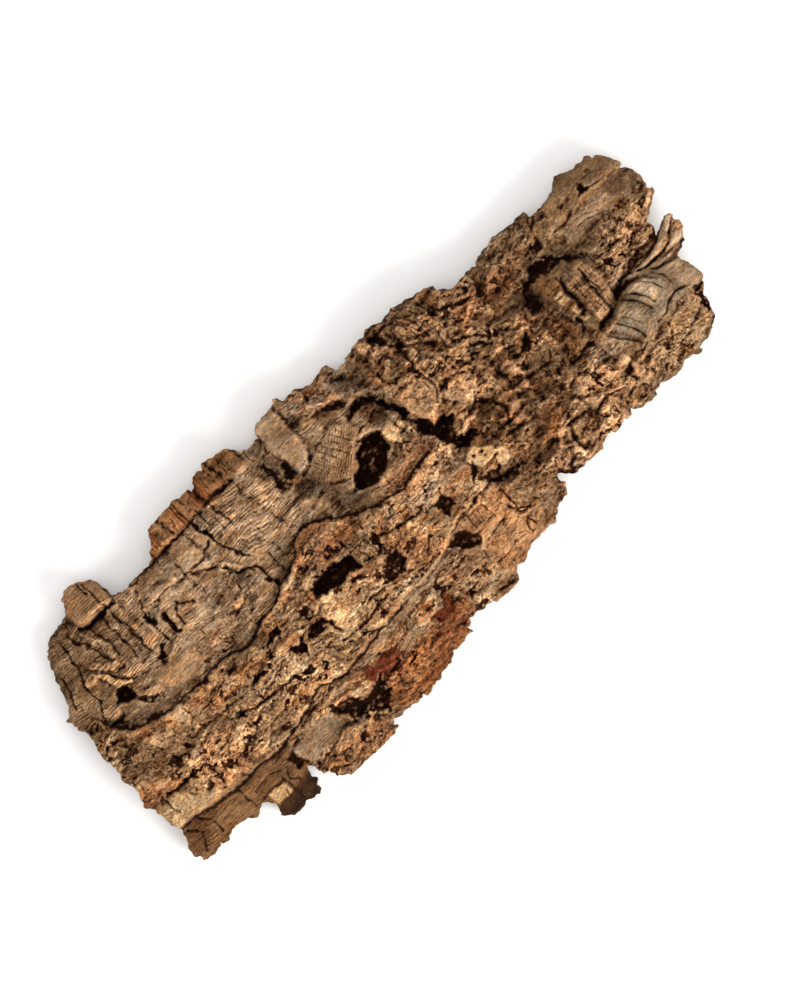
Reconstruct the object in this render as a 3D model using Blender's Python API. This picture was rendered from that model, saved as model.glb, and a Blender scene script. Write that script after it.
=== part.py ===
"""Cork bark slab: one piece of thick, weathered cork oak bark, rough side up.

The slab is a shallow arch that lies on three small flat spots. Its top is a height
field: an arch, plates of bark that stand above each other, rolls, cracks and hollows,
each given by a few points on the slab. All sizes below are in millimetres, with +X
along the slab, +Y across it and +Z up, and become metres when the mesh is made.
"""
import bpy
import numpy as np

MM = 0.001

# Driving dimensions
LENGTH = 300.0
WIDTH = 126.0
HEIGHT = 45.0
GRID = 1.5            # spacing of the points that the shape is worked out on
TRIANGLES = 11200     # faces kept after thinning
RIM_ROUND = 3.0       # radius that the top edge is worn to
LEAST_WALL = 4.0      # thinnest bark left under a hollow
ARCH_POWER = 2.3      # how square the arch's shoulders are
BELLY_RISE = 13.0     # height of the hollow underside at the middle line
RIM_LIFT = 1.6        # height of the underside's edges above the floor
BELLY_FOLDS = 0.9     # depth of the long folds under the slab
FOOT_RADIUS = 6.0     # of each flat spot that the slab rests on
FOOT_SLOPE = 0.8      # rise of the bark away from a foot
FEET = [(-124.0, -38.0), (112.0, -31.0), (-22.0, 45.0)]

# Stations along the slab: x, lower and upper edge of the arch, crown, lower and upper rim
STATIONS = np.array([
    (-150.0, -46.0, 30.0, 24.0, 9.0, 9.0),
    (-128.0, -47.0, 53.0, 27.5, 9.0, 11.0),
    (-100.0, -51.0, 52.0, 30.5, 9.0, 13.0),
    (-60.0, -61.0, 57.0, 33.0, 8.0, 14.0),
    (-20.0, -58.0, 56.0, 35.0, 9.0, 15.0),
    (20.0, -51.0, 52.0, 35.5, 11.0, 15.0),
    (60.0, -42.0, 49.0, 34.0, 12.0, 13.0),
    (85.0, -41.0, 41.0, 30.0, 10.0, 12.0),
    (110.0, -42.0, 41.0, 26.0, 9.0, 12.0),
    (135.0, -38.0, 41.0, 24.0, 9.0, 12.0),
    (150.0, -30.0, 37.0, 21.0, 9.0, 10.0),
])

# The broken outline, counter-clockwise: left end, bottom edge, right end, top edge
OUTLINE = [
    (-146.6, 0), (-147.7, -4), (-146.5, -9), (-149, -15.8), (-146.6, -19.2), (-146.6, -27.4),
    (-145.5, -30.5), (-149.3, -39), (-148.2, -46), (-142.7, -47.1), (-139.3, -45.5), (-137, -47.1),
    (-132.3, -45.3), (-124.8, -46.2), (-122.5, -49.2), (-117.3, -46), (-114, -49.4), (-115.5, -54.2),
    (-113.9, -56.2), (-110.9, -58), (-106.8, -58), (-99.3, -59.1), (-97.8, -56), (-95.7, -54.2),
    (-96.6, -49.6), (-95, -47.8), (-93, -54.6), (-90.5, -55.3), (-90, -58.7), (-85.9, -62.4),
    (-76.8, -62.5), (-68.2, -63.3), (-60.2, -61.5), (-60, -59), (-51.4, -59.9), (-45.7, -60.1),
    (-40.5, -61), (-35, -59.4), (-25.9, -56.9), (-15.5, -56.2), (-12.7, -52.4), (-2.3, -53.3),
    (1.4, -55.4), (10.9, -55.3), (13.2, -51.2), (18.6, -50.8), (24.1, -48.7), (36.1, -49.4),
    (41.4, -45.5), (46.4, -45.1), (49.1, -41), (48.2, -37.6), (50.9, -38.7), (54.5, -41.9),
    (67.3, -42.1), (73.2, -39.6), (79.1, -41.2), (85.5, -39.2), (94.5, -43), (100.7, -40.2),
    (107.3, -42.6), (114.5, -40.8), (120, -43), (129.1, -39.6), (133.5, -36.5), (135.2, -28.3),
    (140, -22.8), (139.1, -15.5), (137.7, -12.4), (144.5, -8.3), (148.4, -1.7), (146.4, 2.6),
    (140.2, 0.8), (134.5, -0.9), (140.2, 2.8), (139.4, 6.2), (150, 14.2), (148.2, 15.3),
    (150, 20.1), (148.4, 26.5), (145.9, 27.4), (148, 29), (145, 36), (140, 40.8), (135.5, 40.1),
    (127, 42.6), (122.7, 39.9), (112.3, 38.2), (108.6, 41.7), (94.5, 43), (85.9, 42.1),
    (81.4, 40), (68.6, 40.5), (65.5, 45.5), (60.9, 47.8), (48.4, 51), (38, 52.1), (28.6, 51),
    (18.2, 49.2), (16.4, 52.8), (13.2, 53.7), (8.6, 52.4), (-4.8, 55.1), (-7.3, 58.5),
    (-7.7, 56.9), (-20.5, 55.1), (-21.4, 52.4), (-27.3, 51.8), (-33.2, 58.3), (-39.3, 60.1),
    (-43, 60.3), (-49.3, 59), (-53.6, 55.5), (-60.9, 57.8), (-75.5, 56.9), (-76.8, 53.7),
    (-81.4, 47.8), (-92.3, 47.8), (-100.5, 48), (-102.3, 49.6), (-102.7, 56.9), (-105.5, 60.5),
    (-109.5, 62.6), (-112.5, 63), (-116.4, 60.8), (-119.1, 56.7), (-130.9, 54), (-137.7, 46.5),
    (-142, 33.3), (-147, 27.8), (-145, 19.6), (-145, 14.2), (-147, 8),
]

# The long main ledge, along which the tan crust stands above the grey plate
MAIN_LEDGE = [
    (-156, 22), (-147, 21), (-139, 19), (-137, 14), (-133, 8.5), (-124, 3.5), (-115, 2.2),
    (-100, 1), (-90, 2), (-80, -1), (-62, 2.2), (-54, 6.5), (-43, 9.5), (-40, 14), (-34, 16),
    (-24, 11.5), (-16, 5.5), (-8, 2), (4, -0.5), (20, 2), (25, 4), (28, 1), (26, -5),
]
LOWER_LEDGE = [
    (27, -14), (30, -20), (20, -23.5), (7, -24), (0, -27), (-12, -29.5), (-28, -30),
    (-40, -30), (-50, -32.8), (-62, -32.7), (-70, -29), (-80, -32), (-95, -36), (-112, -34.5),
    (-122, -35), (-134, -32), (-145, -30.5), (-156, -30),
]

# Plates: name, points, rise above the arch, width of the edge, height of the curled lip
PLATES = [
    ("tan crust", MAIN_LEDGE + LOWER_LEDGE, 5.0, 1.3, 0.8),
    ("lower shelf", [(-156, -31), (-134, -32.5), (-122, -35.5), (-112, -35), (-95, -36.5), (-95, -62),
                     (-156, -62)], -3.0, 2.0, 0.0),
    ("knobbly lobe", [(-93, -52), (-84, -50.5), (-77, -48.5), (-68, -50), (-60, -57), (-58, -66),
                      (-94, -66)], 2.2, 1.5, 0.4),
    ("smooth panel", [(-95, -39), (-74, -38.5), (-72, -47), (-93, -50)], -1.4, 1.6, 0.0),
    ("peg", [(-118, 47.5), (-103, 48), (-100, 60), (-108, 66), (-121, 62)], 8.0, 2.0, 0.5),
    ("edge block", [(-80, 47.5), (-54, 47.5), (-53, 62), (-82, 62)], 4.5, 1.6, 0.5),
    ("second edge block", [(-51, 49), (-32, 48), (-31, 64), (-53, 64)], 4.5, 1.6, 0.5),
    ("grey plank", [(-21, 60), (-20.5, 45), (-19.5, 31), (-14, 31.5), (-10.5, 37), (-10, 48),
                    (-10, 60)], 5.0, 1.4, 0.6),
    ("short block", [(-9, 48), (0, 47), (3, 52), (3, 60), (-9, 60)], 3.2, 1.6, 0.5),
    ("tilted plate", [(-19, 29), (-10, 33), (0, 35.5), (7, 32), (8, 28), (4, 24.5), (0, 21), (-6, 16.5),
                      (-12, 19.5), (-16, 23)], 5.0, 1.4, 1.0),
    ("tan ridge", [(-12, 4), (-3, 8.5), (8, 9), (17, 14), (24, 11), (28, 1), (10, -3)], 1.6, 2.0, 0.4),
    ("rough mound", [(25, 60), (24, 34), (27, 18), (34, 10), (46, 5), (52, -4), (56, -22), (58, -48),
                     (86, -48), (82, -12), (86, 8), (84, 24), (88, 44), (70, 60)], 3.2, 3.0, 0.3),
    ("right upper lobe", [(106, 27), (122, 29), (140, 28.5), (156, 27), (156, 50), (104, 50)],
     4.4, 2.4, 0.3),
    ("middle knob", [(90, 17), (98, 20), (108, 17), (113, 6), (110, -7), (98, -9), (90, -5)],
     6.5, 2.2, 0.6),
    ("knob skirt", [(110, 14), (126, 18), (142, 16), (152, 12), (140, 3), (128, 1), (112, 0)],
     2.4, 1.8, 0.5),
    ("barrel", [(94, -12), (104, -9), (116, -5), (130, -7), (142, -10), (144, -24), (128, -24),
                (112, -26), (96, -25)], 5.2, 2.2, 0.5),
    ("curled strip", [(116, -3.2), (128, -4.6), (140, -7.2), (150, -8), (152, 3), (146, 4), (138, 0),
                      (128, -1)], 5.0, 1.3, 0.9),
    ("broken corner", [(96, -26), (112, -27), (132, -25), (142, -30), (138, -48), (94, -48)],
     2.0, 1.8, 0.5),
]

# Rolls and gullies: points along the line, half width, rise (a gully's is negative)
ROLLS = [
    ([(-143, -25), (-120, -28), (-98, -29)], 8.0, 1.6),
    ([(-40, 10), (-30, 8), (-20, 2), (10, -3), (24, -1)], 5.0, 2.0),
    ([(-8, 45), (5, 46), (12, 43), (16, 36)], 3.2, 3.0),
    ([(30, 48), (45, 42), (60, 44)], 7.0, 2.6),
    ([(34, 22), (44, 12), (52, 8)], 6.0, 2.2),
    ([(62, 34), (72, 24), (80, 14)], 7.0, 2.4),
    ([(108, 34), (128, 36), (145, 33)], 8.0, 2.4),
    ([(90, 38), (104, 37)], 6.0, 2.0),
    ([(98, -18), (118, -14), (138, -16)], 12.0, 3.4),
    ([(62, -32), (76, -30)], 6.0, 1.8),
    ([(28, -10), (34, -12), (39, -17)], 5.0, 2.2),
    ([(-139, 19), (-136, 13), (-130, 8.5), (-122, 5.0), (-110, 5.0), (-96, 4.6), (-80, 2.5), (-64, 5),
      (-54, 9.5), (-44, 12)], 3.4, -3.0),
    ([(97, 24), (105, 22.5), (110, 17), (118, 19.5), (136, 19)], 3.5, -3.5),
    ([(100, -9.5), (110, -5.8), (120, -2.6), (132, -1.5), (140, -0.2)], 2.6, -6.0),
    ([(60, -8), (58, -15), (53, -22), (46, -27)], 3.0, -3.0),
    ([(84, 26), (88, 16), (90, 6), (84, -10), (84, -24)], 4.0, -3.6),
    ([(44, -44), (50, -36), (54, -41)], 2.6, -4.0),
    ([(-30, 44), (-27, 36), (-23, 28), (-19, 20), (-17, 12), (-18, 5)], 3.0, -4.5),
    ([(9, 34), (16, 35), (20, 33), (23, 26), (23, 18)], 2.0, -6.0),
    ([(14.5, 47), (19, 44), (21, 39), (24, 33)], 1.8, -3.0),
    ([(-100, -37.5), (-84, -36.5), (-70, -32), (-58, -36), (-44, -34), (-28, -33.5), (-8, -32),
      (8, -27)], 2.6, -2.0),
]

# Cracks and grooves: points, half width, depth
CRACKS = [
    ([(-96, 46.6), (-84, 46.8), (-70, 47), (-56, 48), (-40, 48)], 1.5, 3.0),
    ([(-120, 48), (-115, 45.5), (-108, 46.5)], 1.6, 4.0),
    ([(-138, 40), (-141, 30)], 1.5, 2.6),
    ([(-128.5, 50), (-130, 40), (-133, 34), (-132.5, 25), (-136, 17)], 1.6, 3.0),
    ([(-108, 60), (-108, 54), (-109, 46), (-107, 34)], 1.3, 2.4),
    ([(-118, 46), (-120, 36), (-117, 27)], 1.4, 2.2),
    ([(-101, 23), (-105, 16.5)], 1.6, 3.0),
    ([(-93, 31), (-93, 21)], 1.3, 2.6),
    ([(-62, 57), (-61, 41), (-58, 30), (-55, 23)], 1.2, 2.4),
    ([(-52, 52), (-50.5, 36)], 1.2, 2.0),
    ([(-92, 36), (-80, 34.5), (-68, 35), (-60, 38.5)], 1.3, 2.0),
    ([(-73, 33), (-65, 28), (-62, 22), (-55, 18), (-54, 8)], 1.6, 3.2),
    ([(-90, 22), (-89, 27), (-86, 29.5), (-82, 25)], 1.3, 2.4),
    ([(-70, 57), (-69.5, 49)], 1.2, 2.0),
    ([(-42, 60), (-41, 50)], 1.2, 2.0),
    ([(-139, -19), (-127, -20), (-121, -20.5), (-120.5, -30)], 1.3, 2.4),
    ([(-100, -17), (-84, -20), (-70, -22)], 1.4, 2.4),
    ([(-60, -14.5), (-56, -12), (-52, -14), (-50, -20)], 1.6, 3.4),
    ([(-52, -24), (-40, -26), (-28, -24)], 1.3, 2.2),
    ([(-15, -6.5), (-5, -9.5), (3, -10.5)], 1.4, 2.6),
    ([(6.5, -24), (14, -22.5), (30, -21), (43, -25)], 1.6, 3.0),
    ([(46, 4), (50, 1), (52.5, -5), (50, -10)], 1.6, 3.6),
    ([(36, 14), (39.5, 19), (38, 28)], 1.5, 2.8),
    ([(56, 26), (63, 22), (66, 17), (69, 21)], 1.5, 2.8),
    ([(34, 48), (38, 42), (44, 36), (50, 30)], 1.8, 3.2),
    ([(58, 40), (66, 34), (78, 32)], 1.6, 2.8),
    ([(66, 6), (72, 5), (77, 9)], 1.5, 2.8),
    ([(62, -36), (65, -27), (74, -28), (77, -34)], 1.5, 3.0),
    ([(80, -11), (92, -11.5)], 1.6, 3.2),
    ([(101, 14), (99, 8), (98, -2)], 1.4, 3.0),
    ([(107, 8), (106.5, -5)], 1.2, 2.2),
    ([(97.5, -13.5), (100, -17), (106, -25)], 1.4, 2.8),
    ([(102.5, -11.5), (107.5, -18.5), (108.5, -25)], 1.3, 2.6),
    ([(107, -9.5), (111, -18), (111.5, -22)], 1.2, 2.2),
    ([(111, -7), (117, -14), (117.5, -20)], 1.3, 2.6),
    ([(118, -5), (127, -12), (128.5, -18)], 1.3, 2.4),
    ([(114, -24), (125, -21.5), (133, -20)], 1.3, 2.6),
    ([(132, -33), (134, -26), (138, -25)], 1.4, 3.0),
    ([(120, 32.5), (130, 36), (137, 35)], 1.3, 1.8),
]

# Hollows: points round the mouth, depth, width of the wall
HOLLOWS = [
    ([(-130, 19), (-126, 23), (-121, 21), (-121.5, 16), (-126, 13.5)], 6.0, 2.0),
    ([(0.3, 21.5), (5, 24), (12.5, 21.5), (11.5, 15), (5, 10.5), (-2, 9.5), (-10, 12.5), (-7, 16)],
     12.0, 2.2),
    ([(-49, -3.5), (-40, -0.5), (-28, -3), (-28, -9.5), (-44, -7.5)], 7.5, 1.8),
    ([(-33.5, -20), (-27, -16), (-13, -16.5), (-13, -21), (-19, -25.5), (-32, -24)], 4.5, 2.0),
    ([(-75, -5), (-65, -2.6), (-66, -6)], 4.0, 1.4),
    ([(-89, -13), (-81, -9.5), (-80, -12.5)], 3.6, 1.4),
    ([(-70, -12), (-65, -18.5), (-61, -12), (-65, -13.5)], 4.0, 1.4),
    ([(-74, -40), (-66, -41), (-62, -45.5), (-53, -44.5), (-52, -50), (-58, -55), (-66, -49), (-70, -48)],
     5.0, 1.8),
    ([(8, -13), (13, -10.5), (14.5, -15), (11, -18.5), (8, -17)], 5.0, 1.6),
    ([(0, -27), (7.5, -26), (11.5, -31.5), (10, -35), (4.5, -33)], 4.5, 1.6),
    ([(22, -4), (24, 12), (28, 11), (33, 8), (31, -3), (26, -7)], 7.5, 2.2),
    ([(31, -5), (39, -5), (39, 0), (31, 0)], 4.0, 1.6),
    ([(28.5, -18), (36, -19), (33, -24), (30, -23)], 4.5, 1.6),
    ([(90, 20), (95, 25.5), (104, 23.5), (109, 17), (102, 18.5), (96, 20)], 6.0, 2.0),
    ([(83, 6), (86, 24), (92, 26), (90, 8)], 4.5, 2.2),
    ([(24, -17), (26, -13), (29, -11), (28, -15)], 2.5, 1.2),
    ([(-99, -41), (-95, -40), (-94, -47), (-98, -47)], 4.0, 1.4),
    ([(93.5, -26.5), (98, -27), (95, -32.5)], 4.0, 1.4),
    ([(128, 31), (133, 31), (131, 34.5)], 3.0, 1.4),
    ([(-9, 42), (-3, 43), (8, 42), (10, 38), (0, 37), (-8, 38)], 2.8, 2.0),
]

# Rough ground: centre x and y, half length, half width, depth of the roughness
ROUGH_GROUND = [
    (-60.0, -14.0, 95.0, 20.0, 1.9),
    (55.0, 5.0, 36.0, 60.0, 2.6),
    (125.0, 32.0, 30.0, 12.0, 1.5),
    (120.0, 8.0, 28.0, 14.0, 1.7),
    (110.0, -34.0, 35.0, 10.0, 1.3),
    (-20.0, -42.0, 60.0, 10.0, 1.2),
    (5.0, 5.0, 22.0, 12.0, 1.5),
]
SMOOTH_GROUND = 0.7   # depth of the roughness on the even grey bark


def step(t):
    """Smooth rise from 0 to 1 as t goes from 0 to 1."""
    t = np.clip(t, 0.0, 1.0)
    return t * t * (3.0 - 2.0 * t)


def lattice(ix, iy, seed):
    """A fixed random angle for each corner of a whole-number grid, from 0 to 2 pi."""
    h = (ix * 374761393 + iy * 668265263 + seed * 982451653) & 0xFFFFFFFF
    h = ((h ^ (h >> 13)) * 1274126177) & 0xFFFFFFFF
    return ((h ^ (h >> 16)) & 0xFFFF) * (2.0 * np.pi / 65536.0)


def noise(x, y, seed=0):
    """Smooth gradient noise of x and y, about -1 to 1, with hills one unit across."""
    ix = np.floor(x).astype(np.int64)
    iy = np.floor(y).astype(np.int64)
    fx = x - ix
    fy = y - iy
    corners = []
    for dx in (0, 1):
        for dy in (0, 1):
            turn = lattice(ix + dx, iy + dy, seed)
            corners.append(np.cos(turn) * (fx - dx) + np.sin(turn) * (fy - dy))
    u = step(fx)
    v = step(fy)
    low = corners[0] * (1 - u) + corners[2] * u
    high = corners[1] * (1 - u) + corners[3] * u
    return 1.5 * (low * (1 - v) + high * v)


def edge_distance(x, y, points):
    """Distance to the closed outline through points, positive inside it."""
    gap = np.full(x.shape, np.inf)
    inside = np.zeros(x.shape, dtype=bool)
    for (ax, ay), (bx, by) in zip(points, points[1:] + points[:1]):
        gap = np.minimum(gap, segment_distance(x, y, ax, ay, bx, by))
        if ay != by:
            crosses = (ay > y) != (by > y)
            inside ^= crosses & (x < ax + (y - ay) * (bx - ax) / (by - ay))
    return np.where(inside, gap, -gap)


def segment_distance(x, y, ax, ay, bx, by):
    """Distance to the straight piece from a to b."""
    ux, uy = bx - ax, by - ay
    along = np.clip(((x - ax) * ux + (y - ay) * uy) / (ux * ux + uy * uy + 1e-9), 0.0, 1.0)
    return np.hypot(x - ax - along * ux, y - ay - along * uy)


def line_distance(x, y, points):
    """Distance to the open line through points."""
    gap = np.full(x.shape, np.inf)
    for (ax, ay), (bx, by) in zip(points, points[1:]):
        gap = np.minimum(gap, segment_distance(x, y, ax, ay, bx, by))
    return gap


def station_values(x):
    """The station table read at x, eased from one station to the next."""
    xs = STATIONS[:, 0]
    k = np.clip(np.searchsorted(xs, x) - 1, 0, len(xs) - 2)
    ease = step((x - xs[k]) / (xs[k + 1] - xs[k]))
    return [STATIONS[k, c] * (1 - ease) + STATIONS[k + 1, c] * ease for c in range(1, 6)]


def across(x, y):
    """Place across the arch: -1 at its lower edge, 0 at the middle line, 1 at its upper edge."""
    low, high, crown, rim_low, rim_high = station_values(x)
    middle = 0.5 * (low + high)
    return np.clip((y - middle) / (0.5 * (high - low)), -1.0, 1.0), crown, rim_low, rim_high


def arch_top(x, y):
    """The plain arch: crown height less a power of the place across, down to each rim."""
    v, crown, rim_low, rim_high = across(x, y)
    rim = np.where(v < 0, rim_low, rim_high)
    return rim + (crown - rim) * (1.0 - np.abs(v) ** ARCH_POWER)


def roughness(x, y):
    """Lumps and folds of three sizes, deeper on rough ground, longer along the slab."""
    depth = np.full(x.shape, SMOOTH_GROUND)
    for cx, cy, half_x, half_y, rough in ROUGH_GROUND:
        reach = np.hypot((x - cx) / half_x, (y - cy) / half_y)
        depth = np.maximum(depth, rough * step((1.25 - reach) / 0.5))
    wide = noise(x / 17.0, y / 9.0, 1)
    middle = noise(x / 8.0, y / 5.5, 2)
    small = np.abs(noise(x / 5.0, y / 4.0, 3))
    return depth * (0.7 * wide + 0.6 * middle + 0.6 * small - 0.2)


def top_surface(x, y, inside):
    """Height of the rough top: arch, plates, rolls, roughness, cracks and hollows."""
    z = arch_top(x, y) + roughness(x, y)
    for _name, points, rise, edge, lip in PLATES:
        d = edge_distance(x, y, points)
        z += rise * step(0.5 + 0.5 * d / edge)
        z += lip * np.exp(-((d - edge) / 2.0) ** 2)
    for points, half_width, rise in ROLLS:
        z += rise * step(1.0 - line_distance(x, y, points) / (1.5 * half_width))
    for points, half_width, depth in CRACKS:
        z -= depth * np.exp(-(line_distance(x, y, points) / half_width) ** 2)
    for points, depth, wall in HOLLOWS:
        z -= depth * step(0.5 + 0.5 * edge_distance(x, y, points) / wall)
    worn = RIM_ROUND - np.clip(inside, 0.0, RIM_ROUND)
    return z - RIM_ROUND + np.sqrt(RIM_ROUND ** 2 - worn ** 2)


def under_surface(x, y, inside):
    """Height of the hollow underside, with three feet that reach the floor."""
    v = across(x, y)[0]
    z = RIM_LIFT + BELLY_RISE * (1.0 - v * v) + BELLY_FOLDS * noise(x / 26.0, y / 6.0, 7)
    z += 2.5 * step(1.0 - inside / 2.5)
    for fx, fy in FEET:
        reach = np.hypot(x - fx, y - fy)
        z = np.minimum(z, FOOT_SLOPE * np.maximum(reach - FOOT_RADIUS, 0.0))
    return np.maximum(z, 0.0)


def slab_mesh():
    """One closed mesh: top and underside on the same grid, joined by a side wall."""
    xs = np.arange(-LENGTH / 2 - GRID, LENGTH / 2 + 2 * GRID, GRID)
    ys = np.arange(-WIDTH / 2 - 2 * GRID, WIDTH / 2 + 2 * GRID, GRID)
    x, y = np.meshgrid(xs, ys, indexing="ij")
    inside = edge_distance(x, y, OUTLINE)
    centre = 0.25 * (inside[:-1, :-1] + inside[1:, :-1] + inside[:-1, 1:] + inside[1:, 1:])
    cells = keep_whole(centre > 0.0)
    x, y = pull_to_outline(x, y, inside, cells)
    inside = edge_distance(x, y, OUTLINE)
    under = under_surface(x, y, inside)
    top = np.maximum(top_surface(x, y, inside), under + LEAST_WALL)

    used = corner_count(cells) > 0
    rim = used & (corner_count(cells) < 4)
    number = np.full(x.shape, -1)
    number[used] = np.arange(used.sum())
    rim_number = np.full(x.shape, -1)
    rim_number[rim] = np.arange(rim.sum())
    layer = used.sum()
    points = [np.stack([x[used], y[used], top[used]], 1), np.stack([x[used], y[used], under[used]], 1)]

    i, j = np.nonzero(cells)
    quad = np.stack([number[i, j], number[i + 1, j], number[i + 1, j + 1], number[i, j + 1]], 1)
    faces = [quad, quad[:, ::-1] + layer]

    # The wall: each outer edge of the cells runs with the bark on its left
    a, b = outer_edges(cells)
    points.append(np.stack([x[rim], y[rim], 0.5 * (top + under)[rim]], 1))
    middle_a = rim_number[a[0], a[1]] + 2 * layer
    middle_b = rim_number[b[0], b[1]] + 2 * layer
    top_a, top_b = number[a[0], a[1]], number[b[0], b[1]]
    faces.append(np.stack([middle_a, middle_b, top_b, top_a], 1))
    faces.append(np.stack([top_a + layer, top_b + layer, middle_b, middle_a], 1))
    mesh = bpy.data.meshes.new("cork_bark_slab")
    mesh.from_pydata((np.concatenate(points) * MM).tolist(), [], np.concatenate(faces).tolist())
    return mesh


def corner_count(cells):
    """How many kept cells meet at each grid point."""
    count = np.zeros((cells.shape[0] + 1, cells.shape[1] + 1), dtype=int)
    for di in (0, 1):
        for dj in (0, 1):
            count[di:di + cells.shape[0], dj:dj + cells.shape[1]] += cells
    return count


def keep_whole(cells):
    """The one connected patch of cells, with none that touch at a corner only."""
    cells = cells.copy()
    for _ in range(6):
        a = cells[:-1, :-1] & cells[1:, 1:] & ~cells[1:, :-1] & ~cells[:-1, 1:]
        b = cells[1:, :-1] & cells[:-1, 1:] & ~cells[:-1, :-1] & ~cells[1:, 1:]
        cells[:-1, :-1] &= ~a
        cells[1:, :-1] &= ~b
    patch = np.zeros_like(cells)
    patch[cells.shape[0] // 2, cells.shape[1] // 2] = True
    size = 0
    while patch.sum() != size:
        size = patch.sum()
        grown = patch.copy()
        grown[1:] |= patch[:-1]
        grown[:-1] |= patch[1:]
        grown[:, 1:] |= patch[:, :-1]
        grown[:, :-1] |= patch[:, 1:]
        patch = grown & cells
    return patch


def outer_edges(cells):
    """Both ends of every outer edge of the kept cells, with the bark on its left."""
    padded = np.pad(cells, 1)
    here = padded[1:-1, 1:-1]
    south = np.nonzero(here & ~padded[1:-1, :-2])
    north = np.nonzero(here & ~padded[1:-1, 2:])
    west = np.nonzero(here & ~padded[:-2, 1:-1])
    east = np.nonzero(here & ~padded[2:, 1:-1])
    starts = [(south[0], south[1]), (east[0] + 1, east[1]), (north[0] + 1, north[1] + 1),
              (west[0], west[1] + 1)]
    ends = [(south[0] + 1, south[1]), (east[0] + 1, east[1] + 1), (north[0], north[1] + 1),
            (west[0], west[1])]
    a = [np.concatenate([s[k] for s in starts]) for k in (0, 1)]
    b = [np.concatenate([e[k] for e in ends]) for k in (0, 1)]
    return a, b


def pull_to_outline(x, y, inside, cells):
    """Moves the rim's grid points along the slope of the distance onto the outline."""
    count = corner_count(cells)
    rim = (count > 0) & (count < 4)
    slope_x, slope_y = np.gradient(inside, GRID)
    steep = np.maximum(slope_x ** 2 + slope_y ** 2, 0.3)
    move = np.clip(inside, -0.62 * GRID, 0.62 * GRID) * rim / steep
    return x - move * slope_x, y - move * slope_y


def bark_material():
    """Weathered cork: tan and grey-brown, dull."""
    material = bpy.data.materials.new("cork bark")
    material.use_nodes = True
    shader = material.node_tree.nodes["Principled BSDF"]
    shader.inputs["Base Color"].default_value = (0.33, 0.19, 0.09, 1.0)
    shader.inputs["Roughness"].default_value = 0.9
    shader.inputs["Metallic"].default_value = 0.0
    return material


def thinned(mesh):
    """The mesh with its faces merged where the surface is even."""
    fine = bpy.data.objects.new("fine_slab", mesh)
    bpy.context.scene.collection.objects.link(fine)
    split = fine.modifiers.new("Triangles", "TRIANGULATE")
    split.min_vertices = 4
    thin = fine.modifiers.new("Thin", "DECIMATE")
    thin.ratio = TRIANGLES / (2.0 * len(mesh.polygons))
    depsgraph = bpy.context.evaluated_depsgraph_get()
    coarse = bpy.data.meshes.new_from_object(fine.evaluated_get(depsgraph))
    bpy.data.objects.remove(fine)
    return coarse


def seat(mesh):
    """Centres the mesh over the origin at its full size, and presses the three feet flat."""
    co = np.empty(3 * len(mesh.vertices))
    mesh.vertices.foreach_get("co", co)
    co = co.reshape(-1, 3)
    middle = 0.5 * (co.min(axis=0) + co.max(axis=0))
    size = co.max(axis=0) - co.min(axis=0)
    middle[2] = 0.0
    for k, full in enumerate((LENGTH, WIDTH, HEIGHT)):
        co[:, k] = (co[:, k] - middle[k]) * (full * MM / size[k])
    co[co[:, 2] < 0.3 * MM, 2] = 0.0
    mesh.vertices.foreach_set("co", co.ravel())
    mesh.update()


def build():
    for old in list(bpy.data.objects):
        bpy.data.objects.remove(old, do_unlink=True)
    mesh = thinned(slab_mesh())
    seat(mesh)
    mesh.name = "cork_bark_slab"
    mesh.shade_smooth()
    mesh.set_sharp_from_angle(angle=np.radians(40.0))
    mesh.materials.clear()
    mesh.materials.append(bark_material())
    slab = bpy.data.objects.new("cork_bark_slab", mesh)
    bpy.context.scene.collection.objects.link(slab)


build()
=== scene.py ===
# %% [markdown]
# # A slab of cork bark
# This lesson dresses one piece of raw cork oak bark, lying rough side up. The solid
# is already made: it has the right outline, height and large forms.
# Here we make the surface that the eye sees, as one closed mesh worked out with numpy.
# Sizes are in millimetres with +X along the slab, and become metres as they go into a mesh.

import bpy
import numpy as np
from mathutils import Matrix, Vector
from mathutils.geometry import delaunay_2d_cdt


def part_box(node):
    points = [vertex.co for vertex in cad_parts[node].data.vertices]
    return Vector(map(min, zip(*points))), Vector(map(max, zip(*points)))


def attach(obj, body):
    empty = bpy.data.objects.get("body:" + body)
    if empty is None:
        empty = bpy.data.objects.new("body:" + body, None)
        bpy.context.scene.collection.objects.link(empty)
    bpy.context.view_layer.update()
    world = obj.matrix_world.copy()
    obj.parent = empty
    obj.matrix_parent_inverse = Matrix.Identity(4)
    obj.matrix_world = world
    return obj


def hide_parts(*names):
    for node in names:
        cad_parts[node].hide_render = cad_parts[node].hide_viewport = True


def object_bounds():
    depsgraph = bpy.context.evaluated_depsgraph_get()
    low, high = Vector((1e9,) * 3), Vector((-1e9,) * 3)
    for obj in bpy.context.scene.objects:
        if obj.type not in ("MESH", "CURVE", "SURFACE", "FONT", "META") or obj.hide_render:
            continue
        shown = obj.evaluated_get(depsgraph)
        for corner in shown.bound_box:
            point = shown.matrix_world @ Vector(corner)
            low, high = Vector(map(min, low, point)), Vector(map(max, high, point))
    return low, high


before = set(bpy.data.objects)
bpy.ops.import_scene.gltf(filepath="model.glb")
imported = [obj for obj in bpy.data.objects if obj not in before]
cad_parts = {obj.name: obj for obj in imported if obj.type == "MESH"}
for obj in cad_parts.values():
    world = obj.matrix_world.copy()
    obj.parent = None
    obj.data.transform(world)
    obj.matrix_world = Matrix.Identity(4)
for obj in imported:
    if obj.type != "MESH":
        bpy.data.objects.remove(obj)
CAD_BOX = [list(corner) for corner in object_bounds()]
MM = 0.001
scene = bpy.context.scene
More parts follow.
